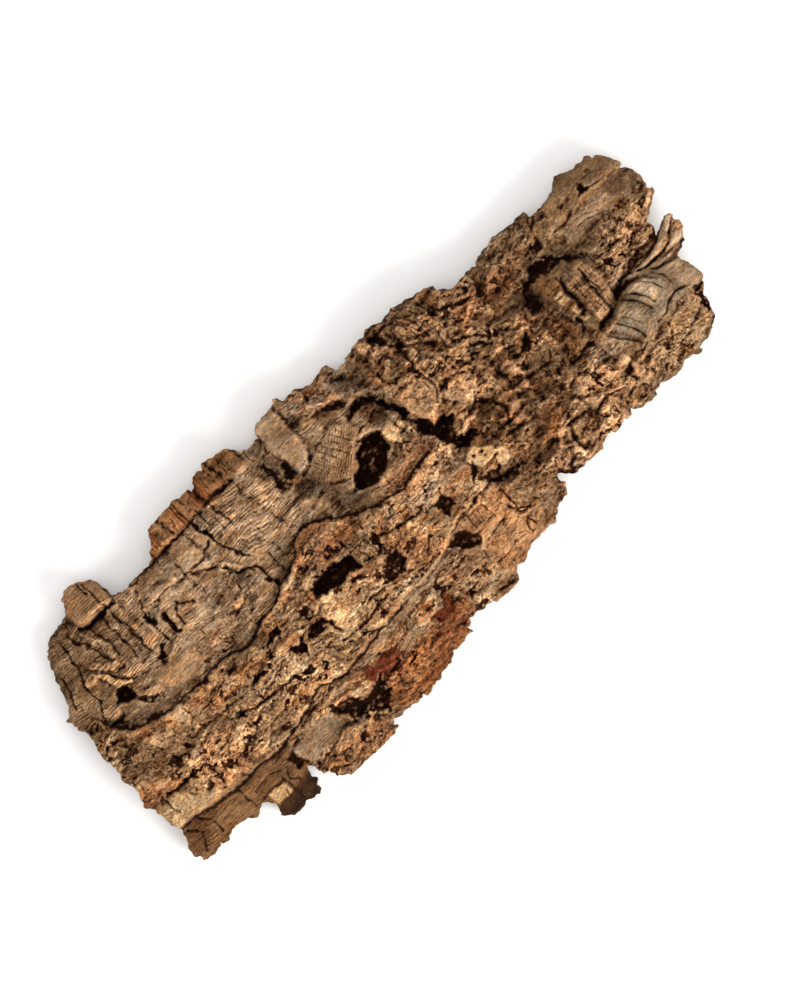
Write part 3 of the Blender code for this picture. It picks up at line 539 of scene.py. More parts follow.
# %% Rolls
# Rolls and gullies: points along the line, half width, rise (a gully's is negative)
ROLLS = [
    ([(-143, -25), (-120, -28), (-98, -29)], 8, 1.6),
    ([(-40, 10), (-30, 8), (-20, 2), (10, -3), (24, -1)], 5, 2),
    ([(-8, 45), (5, 46), (12, 43), (16, 36)], 3.2, 3),
    ([(30, 48), (45, 42), (60, 44)], 7, 2.6),
    ([(34, 22), (44, 12), (52, 8)], 6, 2.2),
    ([(62, 34), (72, 24), (80, 14)], 7, 2.4),
    ([(108, 34), (128, 36), (145, 33)], 8, 2.4),
    ([(90, 38), (104, 37)], 6, 2),
    ([(98, -18), (118, -14), (138, -16)], 12, 3.4),
    ([(62, -32), (76, -30)], 6, 1.8),
    ([(28, -10), (34, -12), (39, -17)], 5, 2.2),
    ([(-139, 20), (-136, 14), (-130, 9.5), (-122, 6)], 3.4, -3.4),
    ([(-124, 5.5), (-110, 4.2), (-96, 3.6), (-80, 1), (-64, 3.6), (-54, 8), (-44, 10.6)], 1.7, -1.6),
    ([(97, 24), (105, 22.5), (110, 17), (118, 19.5), (136, 19)], 3.5, -3.5),
    ([(100, -9.5), (110, -5.8), (120, -2.6), (132, -1.5), (140, -0.2)], 2.6, -6),
    ([(60, -8), (58, -15), (53, -22), (46, -27)], 3, -3),
    ([(84, 26), (88, 16), (90, 6), (84, -10), (84, -24)], 4, -3.6),
    ([(44, -44), (50, -36), (54, -41)], 2.6, -4),
    ([(-30, 44), (-27, 36), (-23, 28), (-19, 20), (-17, 12), (-18, 5)], 3, -4.5),
    ([(9, 34), (16, 35), (20, 33), (23, 26), (23, 18)], 2, -6),
    ([(14.5, 47), (19, 44), (21, 39), (24, 33)], 1.8, -3),
    ([(-100, -37.5), (-84, -36.5), (-70, -32), (-58, -36), (-44, -34), (-28, -33.5), (-8, -32), (8, -27)],
     2.6, -2),
]

# Folds and furrows of the scene alone: points along the line, half width, rise
FOLDS = [
    ([(-133.5, 48), (-134.5, 38), (-137, 28), (-138, 20)], 4.5, 2.4), ([(-142, 34), (-144, 26)], 2.2, 1.2),
    ([(-126.5, 49), (-126.3, 42), (-125.5, 38)], 2.8, 1.6), ([(-130, 29), (-131, 25)], 2.6, 1.2),
    ([(-119.5, 46), (-117, 40), (-116.3, 34)], 2, 1.4), ([(-108.5, 46), (-108.3, 28)], 1.8, 0.8),
    ([(-100.5, 46), (-100.5, 38)], 4.2, 2), ([(-102.5, 34), (-102, 27)], 3.4, 1.6),
    ([(-83, 44), (-82, 20), (-80, 12)], 3.5, 1.2),
    ([(-72, 46), (-70, 30), (-72, 16)], 3.5, 1.2), ([(-50, 46), (-46, 30), (-44, 20)], 5, 1.6),
    ([(-36, 46), (-34, 32), (-30, 20)], 4, 1.6), ([(-77, 46), (-76, 30)], 1, -1.2),
    ([(-66, 44), (-66, 34)], 1, -1.4), ([(-40, 44), (-38, 30), (-36, 22)], 1.2, -1.4),
    ([(-10, -2), (4, -3), (20, -2)], 3, 1.6), ([(-12, -19), (-2, -17), (6, -18)], 3, 1.4),
    ([(12, -30), (22, -34), (32, -40)], 4, 1.6), ([(12, -42), (30, -45)], 3, 1.2),
    ([(30, 47), (36, 40), (36, 34)], 3, 1.8), ([(45, 47), (47, 38), (44, 27)], 4, 2.4),
    ([(54, 45), (55, 34), (52, 24)], 3, 1.6), ([(63, 42), (65, 34), (60, 24)], 3.4, 1.8),
    ([(47, 24), (48, 14), (44, 6)], 3, 1.8), ([(57, 14), (56, 4), (56, -6)], 3, 1.6),
    ([(66, 12), (64, 0), (60, -14)], 3.4, 1.8), ([(76, 24), (78, 14), (72, -2)], 3.6, 1.8),
    ([(80, 2), (76, -10), (66, -20)], 3.6, 1.6), ([(33, -27), (38, -34), (42, -42)], 3, 1.8),
    ([(40, 46), (41, 38), (38, 28)], 1.2, -2.2), ([(50, 45), (51, 36), (49, 26), (50, 12)], 1.1, -2.2),
    ([(58, 44), (60, 36), (56, 26)], 1.2, -1.8), ([(52, 18), (54, 8), (52, -2)], 1.1, -1.8),
    ([(61, 12), (60, 0), (57, -10)], 1.1, -1.8), ([(71, 18), (68, 8), (68, 0), (64, -12)], 1.2, -1.8),
    ([(26, 50), (28, 44), (27, 38)], 2, -4), ([(24, 34), (30, 30), (36, 30)], 1.4, -2.6),
    ([(84, 8), (86, 16), (89, 23)], 2.4, -1.8), ([(95, 19), (95.5, 8), (96, -4)], 2.6, 1),
    ([(103.5, 14), (103.5, 2), (102, -8)], 3, 1), ([(99.7, 15), (99.8, 8), (99.3, -1)], 0.8, -2.4),
    ([(109, 17), (114, 13), (119, 7)], 1.8, -2.4),
    ([(108, 14), (107.5, 2), (107, -6)], 0.9, -1.6), ([(91, 16), (91.5, 4), (93, -6)], 1.2, -2.2),
    ([(99, -12), (103, -17), (105, -24)], 1, -1.6), ([(116, -2.4), (128, -3.6), (138, -0.6)], 0.9, -2.4),
    ([(112, -4.5), (122, -6.6), (136, -9.8), (141, -10)], 1.2, -3),
]
for points, half_width, rise in ROLLS + FOLDS:
    at = patch(points, 2.0 * half_width)
    height[at] += rise * step(1.0 - line_distance(TORN_X[at], TORN_Y[at], points) / (1.5 * half_width))
print("rolls and folds:", len(ROLLS) + len(FOLDS))

# %% Flakes
# Flakes: points, rise, width of the edge, height of the lip, colour (see the palette below)
FLAKES = [
    ([(-127.5, 36), (-124.5, 35.8), (-120, 31.5), (-117, 30), (-117.5, 28.2), (-121, 28.5), (-125.5, 32)],
     1.8, 0.6, 0.3, "tan"),
    ([(-133, 31), (-131, 33), (-128, 33), (-125.5, 31.5), (-127, 29.8), (-131, 30)], 2, 0.6, 0.4, "tan"),
    ([(-127, 31), (-125.3, 30.5), (-122, 25.5), (-118.5, 21), (-119.5, 19.8), (-123, 22.5), (-125.5, 26.5)],
     2.4, 0.5, 0.4, "cream"),
    ([(-120, 25.5), (-115, 25), (-111.5, 24.5), (-111.5, 22.6), (-115, 21.8), (-118, 22.6)], 1.6, 0.5, 0.4,
     "tan"),
    ([(-135.5, 20), (-131, 21), (-129.5, 17), (-131, 14), (-134, 15)], 1.4, 0.8, 0.2, "tan"),
    ([(-121.5, 47), (-118, 43), (-116.2, 40), (-115.5, 36), (-115.5, 31), (-117, 31), (-118.5, 37), (-120.5,
     42)], 1.5, 0.7, 0.2, "grey_tan"),
    ([(-105, 35.5), (-99.5, 35.5), (-98.8, 29), (-100, 25), (-105, 24.5)], 1.6, 0.8, 0.3, "tan"),
    ([(-98, 25.5), (-95.5, 25.5), (-95.3, 21), (-98, 21.5)], 1.2, 0.5, 0.3, "grey_tan"),
    ([(-121, 15.7), (-117, 15), (-112, 13.3), (-112, 10.5), (-115, 10.7), (-118.5, 13.7)], 1.6, 0.5, 0.3,
     "tan"),
    ([(-111, 9), (-103, 6), (-95, 8), (-92, 13), (-97, 15.5), (-104, 13.5), (-110, 14)], 0.7, 1.2, 0.2,
     "tan"),
    ([(-90, 8), (-74, 9), (-73, 13), (-89, 12)], 0.8, 0.8, 0.3, "tan"),
    ([(-73, 12), (-67, 12.5), (-67, 15.5), (-73, 15)], 1.2, 0.7, 0.3, "tan"),
    ([(-66, 29.5), (-61, 26), (-58.5, 22), (-61, 21.5), (-65, 25)], 2, 0.7, 0.4, "cream"),
    ([(-62, 41), (-58, 40), (-58.5, 35), (-61, 35)], 1.2, 0.8, 0.3, "grey_tan"),
    ([(-105.5, 49), (-103, 49), (-103, 30), (-105, 30)], 1.2, 0.7, 0.3, "tan"),
    ([(-101, 47), (-95, 46), (-94.5, 26), (-99, 24), (-101, 32)], 1.5, 1.2, 0.2, "grey_tan"),
    ([(-24.5, 40), (-20.5, 41), (-20, 45), (-24, 45)], 2, 0.7, 0.3, "tan"),
    ([(-24.5, 29.5), (-19.5, 30), (-20, 32.5), (-24, 32)], 2, 0.7, 0.3, "ochre"),
    ([(-14.5, 19), (-12.5, 18), (-9, 14), (-11, 13), (-14, 15.5)], 1.8, 0.7, 0.3, "tan"),
    ([(-3, 44), (4, 45), (10, 44.5), (14, 41), (15, 36), (13, 35.5), (12, 39), (8, 42.5), (2, 43)], 1.6, 0.7,
     0.3, "tan"),
    (DARK_SLOT, 3, 1, 0, "warm_block"),
    (CREAM_BLOCK, 2.2, 0.7, 0.4, "cream"),
    ([(19, 18.5), (20.5, 20), (23, 15), (22.5, 10.5), (20.2, 12.5)], 2.2, 0.7, 0.4, "cream"),
    ([(-113.5, -46), (-106, -46.5), (-106, -51), (-113, -51)], 1.3, 0.7, 0.3, "cream"),
    ([(51, -31), (58, -30.5), (62, -34), (61, -39), (53, -39)], 2.2, 1.4, 0, "tan"),
    ([(62, -27), (68, -25), (76, -28), (77, -37), (63, -37)], 1.6, 1.4, 0, "olive"),
    ([(52, -25), (58, -26.5), (64, -24), (67, -20), (63, -19.5), (56, -22)], 1.6, 1, 0.2, "ochre"),
    ([(75, -20), (85, -19), (86, -27), (80, -30), (75, -27)], 1.3, 1, 0.2, "tan"),
    ([(70, 29.5), (75, 26), (74, 24), (69, 27.5)], 1.6, 0.7, 0.3, "cream"),
    (BROAD_FLAKE, 2.2, 1, 0.4, "tan"),
    (ROUND_FLAKE, 2, 1, 0.3, "tan"),
    ([(36, 33.5), (40, 34.5), (44, 34), (43.5, 31.5), (38, 30.5)], 1.8, 0.7, 0.3, "tan"),
    ([(41, 38), (44.5, 38), (44.5, 35.5), (41.5, 35.5)], 1.6, 0.6, 0.3, "tan"),
    ([(43.5, 46), (46, 45.5), (46, 41), (43.5, 41.5)], 1.8, 0.7, 0.3, "tan"),
    ([(36.5, 43), (38.7, 43), (38, 36), (36.5, 37)], 1.6, 0.6, 0.3, "tan"),
    ([(27, 43.5), (29.5, 43), (30, 38), (27, 38)], 1.6, 0.6, 0.3, "tan"),
    ([(28, 50), (33, 49), (33, 46), (29, 46)], 1.4, 0.7, 0.3, "tan"),
    ([(44, 26.5), (49, 26.8), (50.5, 24), (48, 21.5), (44.5, 22.5)], 1.8, 0.8, 0.3, "tan"),
    ([(38, 5.5), (41, 5), (45, 2.5), (42, -0.5), (37, 0.5)], 1.8, 0.7, 0.3, "tan"),
    ([(53, 31), (58, 31), (59, 26), (54, 24.5)], 1.2, 0.8, 0.3, "tan"),
    ([(67.5, 41), (70.5, 38.5), (71.5, 36), (68, 37)], 1.6, 0.7, 0.3, "tan"),
    ([(72.5, 39.5), (76.5, 39.5), (77, 35.5), (73.5, 35)], 1.6, 0.7, 0.3, "tan"),
    ([(69, 20), (75, 21), (77, 14), (76, 8.5), (70, 9)], 1, 1, 0.2, "olive"),
    ([(52, 8), (57, 8.5), (57.5, 4), (53, 3.5)], 1.4, 0.8, 0.3, "tan"),
    ([(27, -9), (30, -7.6), (33, -7), (36, -9.6), (39, -12), (38, -14.4), (35.5, -15.5), (31, -15.3), (28.5,
     -13)], 1.8, 0.7, 0.4, "cream"),
    ([(38.2, -13.6), (40.8, -14), (41.6, -18), (40, -20), (37, -21), (35.6, -19), (36.4, -16)], 1.8, 0.7,
     0.4, "cream"),
    ([(92, 18.5), (98, 19.5), (99.3, 12), (99, 5), (98.5, -1), (96, -1), (95, 4), (92.5, 10)], 1, 0.8, 0.2,
     "shelf_brown"),
    ([(94, 10.5), (98, 10.5), (97.5, 6), (94.5, 6)], 1, 0.5, 0.3, "cream"),
    ([(95.8, 3.5), (98, 3.2), (98, 0), (96, 0)], 1, 0.5, 0.3, "cream"),
    ([(96.2, -1.4), (99, -1.4), (99, -4.4), (96.4, -4.4)], 1, 0.5, 0.3, "cream"),
    ([(100.6, 11), (105.8, 10.5), (105.6, 1), (105.5, -7.5), (100.5, -8), (100.8, 2)], 1.2, 0.7, 0.2, "tan"),
    ([(107, 15), (110.5, 15), (112, 9), (112, 0), (110, -6.5), (107, -6), (107, 4)], 1, 0.8, 0.2, "tan"),
    ([(94, -9.5), (103, -9), (104.5, -12.5), (96, -13), (92, -11.5)], 1.4, 0.8, 0.3, "tan"),
    ([(84, 3.5), (92, 3.5), (93, -4), (90, -9.5), (84, -10)], 1.6, 1, 0.2, "shelf_brown"),
    ([(142, 10), (149.5, 13), (149.5, 14.8), (142, 11.5)], 1.4, 0.6, 0.3, "cream"),
    ([(86, -22), (99, -24), (99, -31), (93, -33), (86, -30)], 1.6, 1.2, 0.3, "tan"),
    ([(96, -31), (101, -31), (101, -36), (96, -36)], 2, 1.2, 0, "tan"),
    ([(118, -3), (130, -3.8), (141, 0.5), (146, 3.5), (147.5, 1.5), (140, -3), (128, -5.6), (119, -4.8)],
     2.6, 0.8, 0.5, "pale_wood"),
    ([(122, -6.3), (135, -6.6), (144, -3.6), (147, -5), (141, -8.8), (128, -8.6)], 2, 0.8, 0.4, "pale_wood"),
]
for points, rise, edge, lip, _colour in FLAKES:
    raise_plate(points, rise, edge, lip, 0.8, 6.0)
print("flakes:", len(FLAKES))

# %% [markdown]
# ## Cracks
# A crack is a narrow cut with a bell-shaped section. Its width and depth wander along it, so
# that it opens and closes as a real one does. Some cracks come in rows, where bark has
# shrunk evenly, and one crack repeated at several places draws such a row.

# %% Lists of cracks
# Cracks and grooves: points, half width, depth
CRACKS = [
    ([(-96, 46.6), (-84, 46.8), (-70, 47), (-56, 48), (-40, 48)], 1.5, 3),
    ([(-120, 48), (-115, 45.5), (-108, 46.5)], 1.6, 4),
    ([(-138, 41), (-138.4, 36), (-140, 31), (-141.5, 27.5)], 0.9, 2.6),
    ([(-128.3, 50), (-129, 44), (-130, 38), (-132, 33), (-133, 30), (-133, 25), (-135, 20), (-136.5, 17)],
     0.8, 2.2),
    ([(-125, 50), (-123.5, 45), (-121, 39.5), (-120, 35.5), (-117.5, 31)], 1, 2.2),
    ([(-117, 46.5), (-116, 42), (-114.6, 37), (-115, 31)], 0.8, 1.8),
    ([(-110.7, 47), (-110.3, 38), (-110.8, 26)], 0.7, 2.2),
    ([(-106.3, 48), (-107, 41), (-105.5, 35), (-105.7, 25)], 0.8, 2),
    ([(-108.3, 61), (-108.3, 56)], 0.9, 2.6), ([(-106.8, 60), (-107, 47)], 0.5, 1.8),
    ([(-101, 23.5), (-102.5, 21), (-105, 16.5)], 1.3, 3),
    ([(-93, 31), (-93, 21)], 1, 2.6), ([(-98, 35), (-98, 22)], 1, 2.4),
    ([(-95, 44), (-96, 39), (-98, 35)], 0.8, 2),
    ([(-62, 57), (-61, 41), (-58, 30), (-55, 23)], 1.2, 2.4),
    ([(-52, 52), (-50.5, 36)], 1.2, 2),
    ([(-92, 36), (-80, 34.5), (-68, 35), (-60, 38.5)], 1.3, 2),
    ([(-73, 33), (-65, 28), (-62, 22), (-55, 18), (-54, 8)], 1.6, 3.2),
    ([(-90, 22), (-89, 27), (-86, 29.5), (-82, 25)], 1.3, 2.4),
    ([(-70, 57), (-69.5, 49)], 1.2, 2),
    ([(-42, 60), (-41, 50)], 1.2, 2),
    ([(-139, -19), (-127, -20), (-121, -20.5), (-120.5, -30)], 1.3, 2.4),
    ([(-100, -17), (-84, -20), (-70, -22)], 1.4, 2.4),
    ([(-60, -14.5), (-56, -12), (-52, -14), (-50, -20)], 1.6, 3.4),
    ([(-52, -24), (-40, -26), (-28, -24)], 1.3, 2.2),
    ([(-15, -6.5), (-5, -9.5), (3, -10.5)], 1.4, 2.6),
    ([(6.5, -24), (14, -22.5), (30, -21), (43, -25)], 1.6, 3),
    ([(46, 4), (50, 1), (52.5, -5), (50, -10)], 1.6, 3.6),
    ([(36, 14), (39.5, 19), (38, 28)], 1.5, 2.8),
    ([(56, 26), (63, 22), (66, 17), (69, 21)], 1.5, 2.8),
    ([(34, 48), (38, 42), (44, 36), (50, 30)], 1.8, 3.2),
    ([(58, 40), (66, 34), (78, 32)], 1.6, 2.8),
    ([(66, 6), (72, 5), (77, 9)], 1.5, 2.8),
    ([(62, -36), (65, -27), (74, -28), (77, -34)], 1.5, 3),
    ([(80, -11), (92, -11.5)], 1.6, 3.2),
    ([(101, 14), (99, 8), (98, -2)], 1.4, 3),
    ([(107, 8), (106.5, -5)], 1.2, 2.2),
    ([(97.5, -13.5), (99, -15.5), (101.5, -18.5), (104, -22), (106, -25)], 0.6, 2),
    ([(103, -12), (105, -15), (107, -18), (108, -21), (108.5, -24)], 0.6, 2),
    ([(107, -12.5), (109, -15), (110.5, -18.5), (111, -20)], 0.4, 1.2),
    ([(111.5, -8), (113.5, -10), (115.5, -12), (116.5, -15), (117.3, -18)], 0.7, 2.2),
    ([(114, -7.5), (117, -10), (119, -13.5), (120, -17)], 0.6, 1.8),
    ([(118, -4.5), (123, -7), (126, -11)], 0.5, 1), ([(127, -9), (129, -12), (129.5, -17)], 0.5, 1),
    ([(115.5, -23.5), (120, -23), (124, -20.5), (128, -19.5), (132, -21), (134, -22.5)], 0.9, 2.4),
    ([(132, -33), (134, -26), (138, -25)], 1.4, 3),
    ([(120, 32.5), (130, 35), (137, 34.5)], 0.6, 0.8),
]

# Fine cracks: points, half width, depth
FINE_CRACKS = [
    ([(11, -31.3), (16, -31.2), (21, -30.5), (26, -29.3)], 0.5, 1),
    ([(13, -36), (17, -35.3), (23, -34.5), (26, -32.5)], 0.5, 1),
    ([(27.5, -33), (28.5, -36), (30, -38)], 1.6, 2.4),
    ([(29.5, -40.2), (28, -41.5), (27.2, -43.5), (27.3, -45.5)], 0.9, 2.2),
    ([(29.3, -41), (30, -44.6)], 0.6, 1.4),
    ([(20.7, -36.4), (22.5, -35), (24.2, -36)], 0.8, 1.4),
    ([(8.5, -40.5), (9.3, -38.2)], 0.8, 1.4),
    ([(23, -43.2), (25.5, -43.6)], 0.6, 1.2),
    ([(-111.7, 0), (-111.5, -4.5)], 0.6, 1.2),
    ([(-104, -3), (-103, -8)], 0.5, 1),
    ([(-134, -19.5), (-127, -20), (-122, -20.5), (-119.5, -15), (-119.8, -20), (-121, -25), (-120.3, -30)],
     0.6, 1.4),
    ([(-133, -20), (-133, -24), (-131.5, -26)], 0.6, 1.4),
    ([(-141.5, -18), (-141, -27)], 0.6, 1.4),
    ([(-109, -11), (-103, -11), (-98, -12)], 0.5, 1),
    ([(-104, -13), (-100, -17)], 0.5, 1),
    ([(-144, -33), (-141, -38), (-144.5, -44)], 1, 1.8),
    ([(-138, -33), (-135, -37), (-135, -43)], 0.8, 1.4),
    ([(-120, -36), (-119.5, -46)], 0.6, 1.4),
    ([(-116, -41.5), (-108, -40.5), (-104, -42)], 0.6, 1.2),
    ([(-116, -46), (-110, -45.3), (-105, -46)], 0.6, 1.4),
    ([(-105, -44), (-104.5, -57)], 0.7, 1.4),
    ([(-101, -43), (-103.5, -47), (-100.5, -50)], 0.7, 1.4),
    ([(-99, -41), (-96, -42.5), (-95.5, -45)], 0.7, 1.6),
    ([(-95, -52), (-85, -51), (-78, -48.5), (-73, -47.5), (-70, -49)], 0.8, 1.4),
    ([(-75, 57), (-75.3, 49)], 0.5, 1.2), ([(-69, 57), (-69.2, 49)], 0.5, 1.2),
    ([(-63, 57), (-63, 49)], 0.5, 1), ([(-44.5, 60), (-44.5, 51)], 0.5, 1.2),
    ([(-38.5, 60), (-38.5, 51)], 0.5, 1.2), ([(-37, 58), (-37, 51)], 0.4, 1),
    ([(-62, 51), (-61.5, 40)], 0.7, 1.6), ([(-57.5, 51), (-57.5, 42)], 0.6, 1.4),
    ([(-60, 41), (-60, 37), (-58.5, 32), (-57.5, 27), (-55, 23.5)], 0.7, 1.6),
    ([(-40, 49), (-40, 43)], 0.7, 1.6),
    ([(-98.5, 34), (-98, 33)], 0.9, 1.6), ([(-93.2, 35.5), (-92.8, 34.5)], 0.9, 1.6),
    ([(-73, 34), (-69, 35), (-64, 37), (-60, 38.5)], 0.6, 1.2),
    ([(-45, 20), (-45, 16.5)], 0.8, 1.8),
    ([(-109, 47), (-109, 40)], 0.4, 1.2), ([(-108, 47), (-108, 40)], 0.4, 1.2),
    ([(-109.5, 38.5), (-107, 37), (-105, 38)], 0.5, 1.4), ([(-108, 35), (-108, 27)], 0.4, 1),
    ([(-124, 29.5), (-121.3, 26.3), (-119.5, 22)], 0.6, 2), ([(-122.5, 29), (-120, 27.5), (-117, 27)], 0.7,
     1.8),
    ([(-132.8, 30), (-133, 24)], 0.5, 1.4), ([(-119, 39.5), (-119, 34.5)], 0.5, 1.6),
    ([(63.5, 22.2), (66, 20.5), (67.6, 17)], 0.7, 2), ([(69.3, 20), (68.5, 15)], 0.6, 1.8),
    ([(47, -31), (48, -38)], 0.5, 1.2), ([(46.5, 14.5), (46.7, 12)], 0.5, 1.4),
    ([(37, 24), (37.3, 18), (40, 20)], 0.4, 1), ([(30, 22), (33, 19)], 0.4, 1),
    ([(104.5, -9.2), (110, -7.6), (113, -4.6), (117, -2.6), (120.5, -2.2)], 0.7, 2),
    ([(121, -3), (125, -5.2), (128, -6), (137, -5.6), (139, -5)], 0.8, 2.4),
    ([(127.5, -7.2), (130, -9), (137, -10.4)], 0.6, 1.8),
    ([(130, -7.5), (138, -7.6), (144, -6)], 0.3, 0.8), ([(138, -3.5), (143, -2), (147, -1)], 0.3, 0.8),
    ([(137, -1.8), (142, 0.4), (146, 2)], 0.3, 0.8),
    ([(-27, -2.6), (-18, -2.8)], 0.7, 1.6), ([(-19.5, -4), (-19.5, -15)], 0.6, 1.4),
    ([(-10, -4), (0, -6)], 0.6, 1.2), ([(-44, 14), (-40, 11), (-32, 11)], 0.6, 1.2),
    ([(7, -12), (-2, -14), (-8, -13)], 0.5, 1),
    ([(2, -20), (8, -21), (14, -19.5), (22, -19.8)], 0.5, 1.2),
    ([(10, -45), (20, -44), (28, -45.5)], 0.5, 1.2), ([(20, -24), (21, -32)], 0.4, 1),
    ([(30, -27), (29, -35), (33, -38)], 0.9, 2), ([(36, -36), (39, -39), (45, -38)], 0.8, 1.8),
    ([(41.8, -4), (42.5, -13)], 0.7, 1.6), ([(35, -23), (39, -25), (43, -23)], 0.8, 1.8),
    ([(34, -2), (40, 0), (47, -2)], 0.6, 1.4), ([(35, -6), (43, -5), (50, -7)], 0.6, 1.4),
    ([(61, 19), (63, 18), (64.5, 15.5), (66, 14.5)], 0.8, 1.8),
    ([(46, 5), (50, 8), (55, 10)], 0.7, 1.6), ([(44, 20), (52, 24), (54, 32)], 0.8, 1.8),
    ([(60, 6), (61, -4), (66, -10)], 0.8, 1.8), ([(66, -4), (76, -5), (80, -2)], 0.8, 1.6),
    ([(56, 48), (58, 38), (62, 30)], 0.8, 1.8), ([(80, -27), (84, -30)], 0.6, 1.4),
    ([(88, -36), (92, -34), (97, -37)], 0.5, 1.2), ([(103, -30), (112, -29), (120, -32)], 0.7, 1.6),
    ([(110, -36), (118, -35), (128, -31)], 0.7, 1.4), ([(112, 28.5), (118, 27.5), (122, 29)], 0.9, 1.8),
    ([(122, 29), (129, 31.5), (135, 30.5), (140, 29), (145, 28.5)], 0.5, 0.9),
    ([(118, 26), (124, 25.3), (130, 22)], 0.4, 0.8), ([(116, 23.5), (124, 23), (131, 20)], 0.4, 0.8),
    ([(124, -5), (134, -6), (139, -5), (143, -2), (146, 1)], 0.7, 1.8),
    ([(93, 13), (99, 12)], 0.5, 1.2), ([(93, 9), (98, 8.5)], 0.5, 1.2), ([(94, 5), (98, 4.5)], 0.5, 1.2),
    ([(101, 8.5), (107, 7.5)], 0.5, 1.2), ([(100, 4.5), (106.5, 4)], 0.5, 1.2),
    ([(100, 0.5), (106.5, 0)], 0.5, 1.2), ([(99.5, -3.5), (106, -4)], 0.5, 1),
    ([(108, 12), (108.5, 0), (112, -2)], 0.8, 1.6), ([(113, 14), (114, 8), (120, 6)], 0.8, 1.6),
    ([(120.5, -7), (124, -11), (125.5, -15)], 0.5, 1.2), ([(122.5, -6), (126, -10)], 0.5, 1),
    ([(86, -13), (98, -14.5)], 0.5, 1.2), ([(86, -16), (98, -17.5)], 0.5, 1.2),
    ([(86, -19), (98, -20)], 0.5, 1.2),
    ([(-64, 22), (-66, 17), (-65, 11)], 0.5, 1.2), ([(-58, 20), (-56.5, 14), (-54, 8)], 0.6, 1.6),
    ([(-49, 17), (-48.5, 10)], 0.6, 1.4), ([(-38, 17), (-36, 13)], 0.5, 1.2),
    ([(-46, 17), (-44, 13)], 0.5, 1.0),
    ([(4, -24.5), (14, -23.5), (22, -22), (28, -21.5)], 0.6, 1.4),
]


def repeated(points, places, half_width, depth):
    """The same crack at several places: each place is added to all the points."""
    return [([(x + dx, y + dy) for x, y in points], half_width, depth) for dx, dy in places]


def along_x(*stops):
    """Places at those stops along the slab."""
    return [(x, 0) for x in stops]


def along_y(*stops):
    """Places at those stops across the slab."""
    return [(0, y) for y in stops]


FINE_CRACKS += repeated([(0, -22), (0.4, -25), (0, -30)],
                        along_x(9, 11.4, 13, 15.4, 17, 20, 22.6, 26), 0.35, 0.8)
FINE_CRACKS += repeated([(0, 0), (0.8, 0)], [(30.8, -10), (34.4, -10.6), (34, -12.4), (37, -15.6)], 0.7, 2.0)
FINE_CRACKS += [([(13.6, 29), (15.5, 31), (18, 30), (18.6, 27)], 0.5, 1.2),
                ([(14, 27.5), (16.4, 28), (17.4, 25.4)], 0.5, 1.2)]
FINE_CRACKS += repeated([(0, 33.5), (2.4, 29), (4.8, 24)],
                        along_x(-16, -14.6, -13.2, -11.8, -9.3, -6.5, -3.5, -0.8, 1.4), 0.35, 0.9)
FINE_CRACKS += repeated([(100.8, 0), (103, 0.5), (105.8, -0.4)],
                        along_y(9.4, 7, 5.2, 2.6, 0.6, -1.6, -3.6, -5.8), 0.4, 0.9)
FINE_CRACKS += repeated([(0, 13), (-0.3, 4), (0.2, -7)], along_x(102.4, 104.2, 108.4, 109.8), 0.4, 0.9)
FINE_CRACKS += repeated([(107, 0), (109, -0.8), (111.5, -0.6)],
                        along_y(13, 10.4, 7.6, 5, 2.2, -0.6), 0.4, 0.8)
FINE_CRACKS += repeated([(92.5, 0), (95, -0.9), (98.6, 0)], along_y(17, 14.4, 11.8, 5.2, -0.8), 0.4, 0.9)
print("cracks:", len(CRACKS), "fine cracks:", len(FINE_CRACKS))

# %% Cracks cut in
opening = 0.5 + 0.8 * np.abs(noise(X / 3.6, Y / 3.6, 28))
# The bottom of each crack is painted dark as shade, and so is a line along the ledges
dark = np.zeros(X.shape)     # how black the bottom of a crack is
for points, half_width, depth in CRACKS + FINE_CRACKS:
    at = patch(points, 4.0 * half_width)
    away = line_distance(TORN_X[at], TORN_Y[at], points) / (0.8 * half_width * opening[at])
    height[at] -= 1.3 * depth * opening[at] * np.exp(-away ** 2)
    dark[at] = np.maximum(dark[at], min(0.05 + 0.28 * depth, 0.75) * np.exp(-(2.2 * away) ** 2))
# The ledges stand over a groove, which lies this far to the side of them, and a painted shadow line runs
# along it
LEDGE_GROOVE = 0.7
for side, ledge in ((LEDGE_GROOVE, MAIN_LEDGE[4:20]), (-LEDGE_GROOVE, LOWER_LEDGE[6:17])):
    away = line_distance(TORN_X, TORN_Y - side, ledge) / (0.8 * opening)
    height -= 1.4 * np.exp(-away ** 2)
    dark = np.maximum(dark, 0.7 * np.exp(-(1.4 * away) ** 2))
print("mean darkness of cracks:", round(float(dark[inside > 0].mean()), 3))

# %% [markdown]
# ## Hollows and holes
# A hollow is a pit with a steep wall. Rot eats cork unevenly, so lumps of noise push the wall
# in and out, and stand up from the floor of the pit.

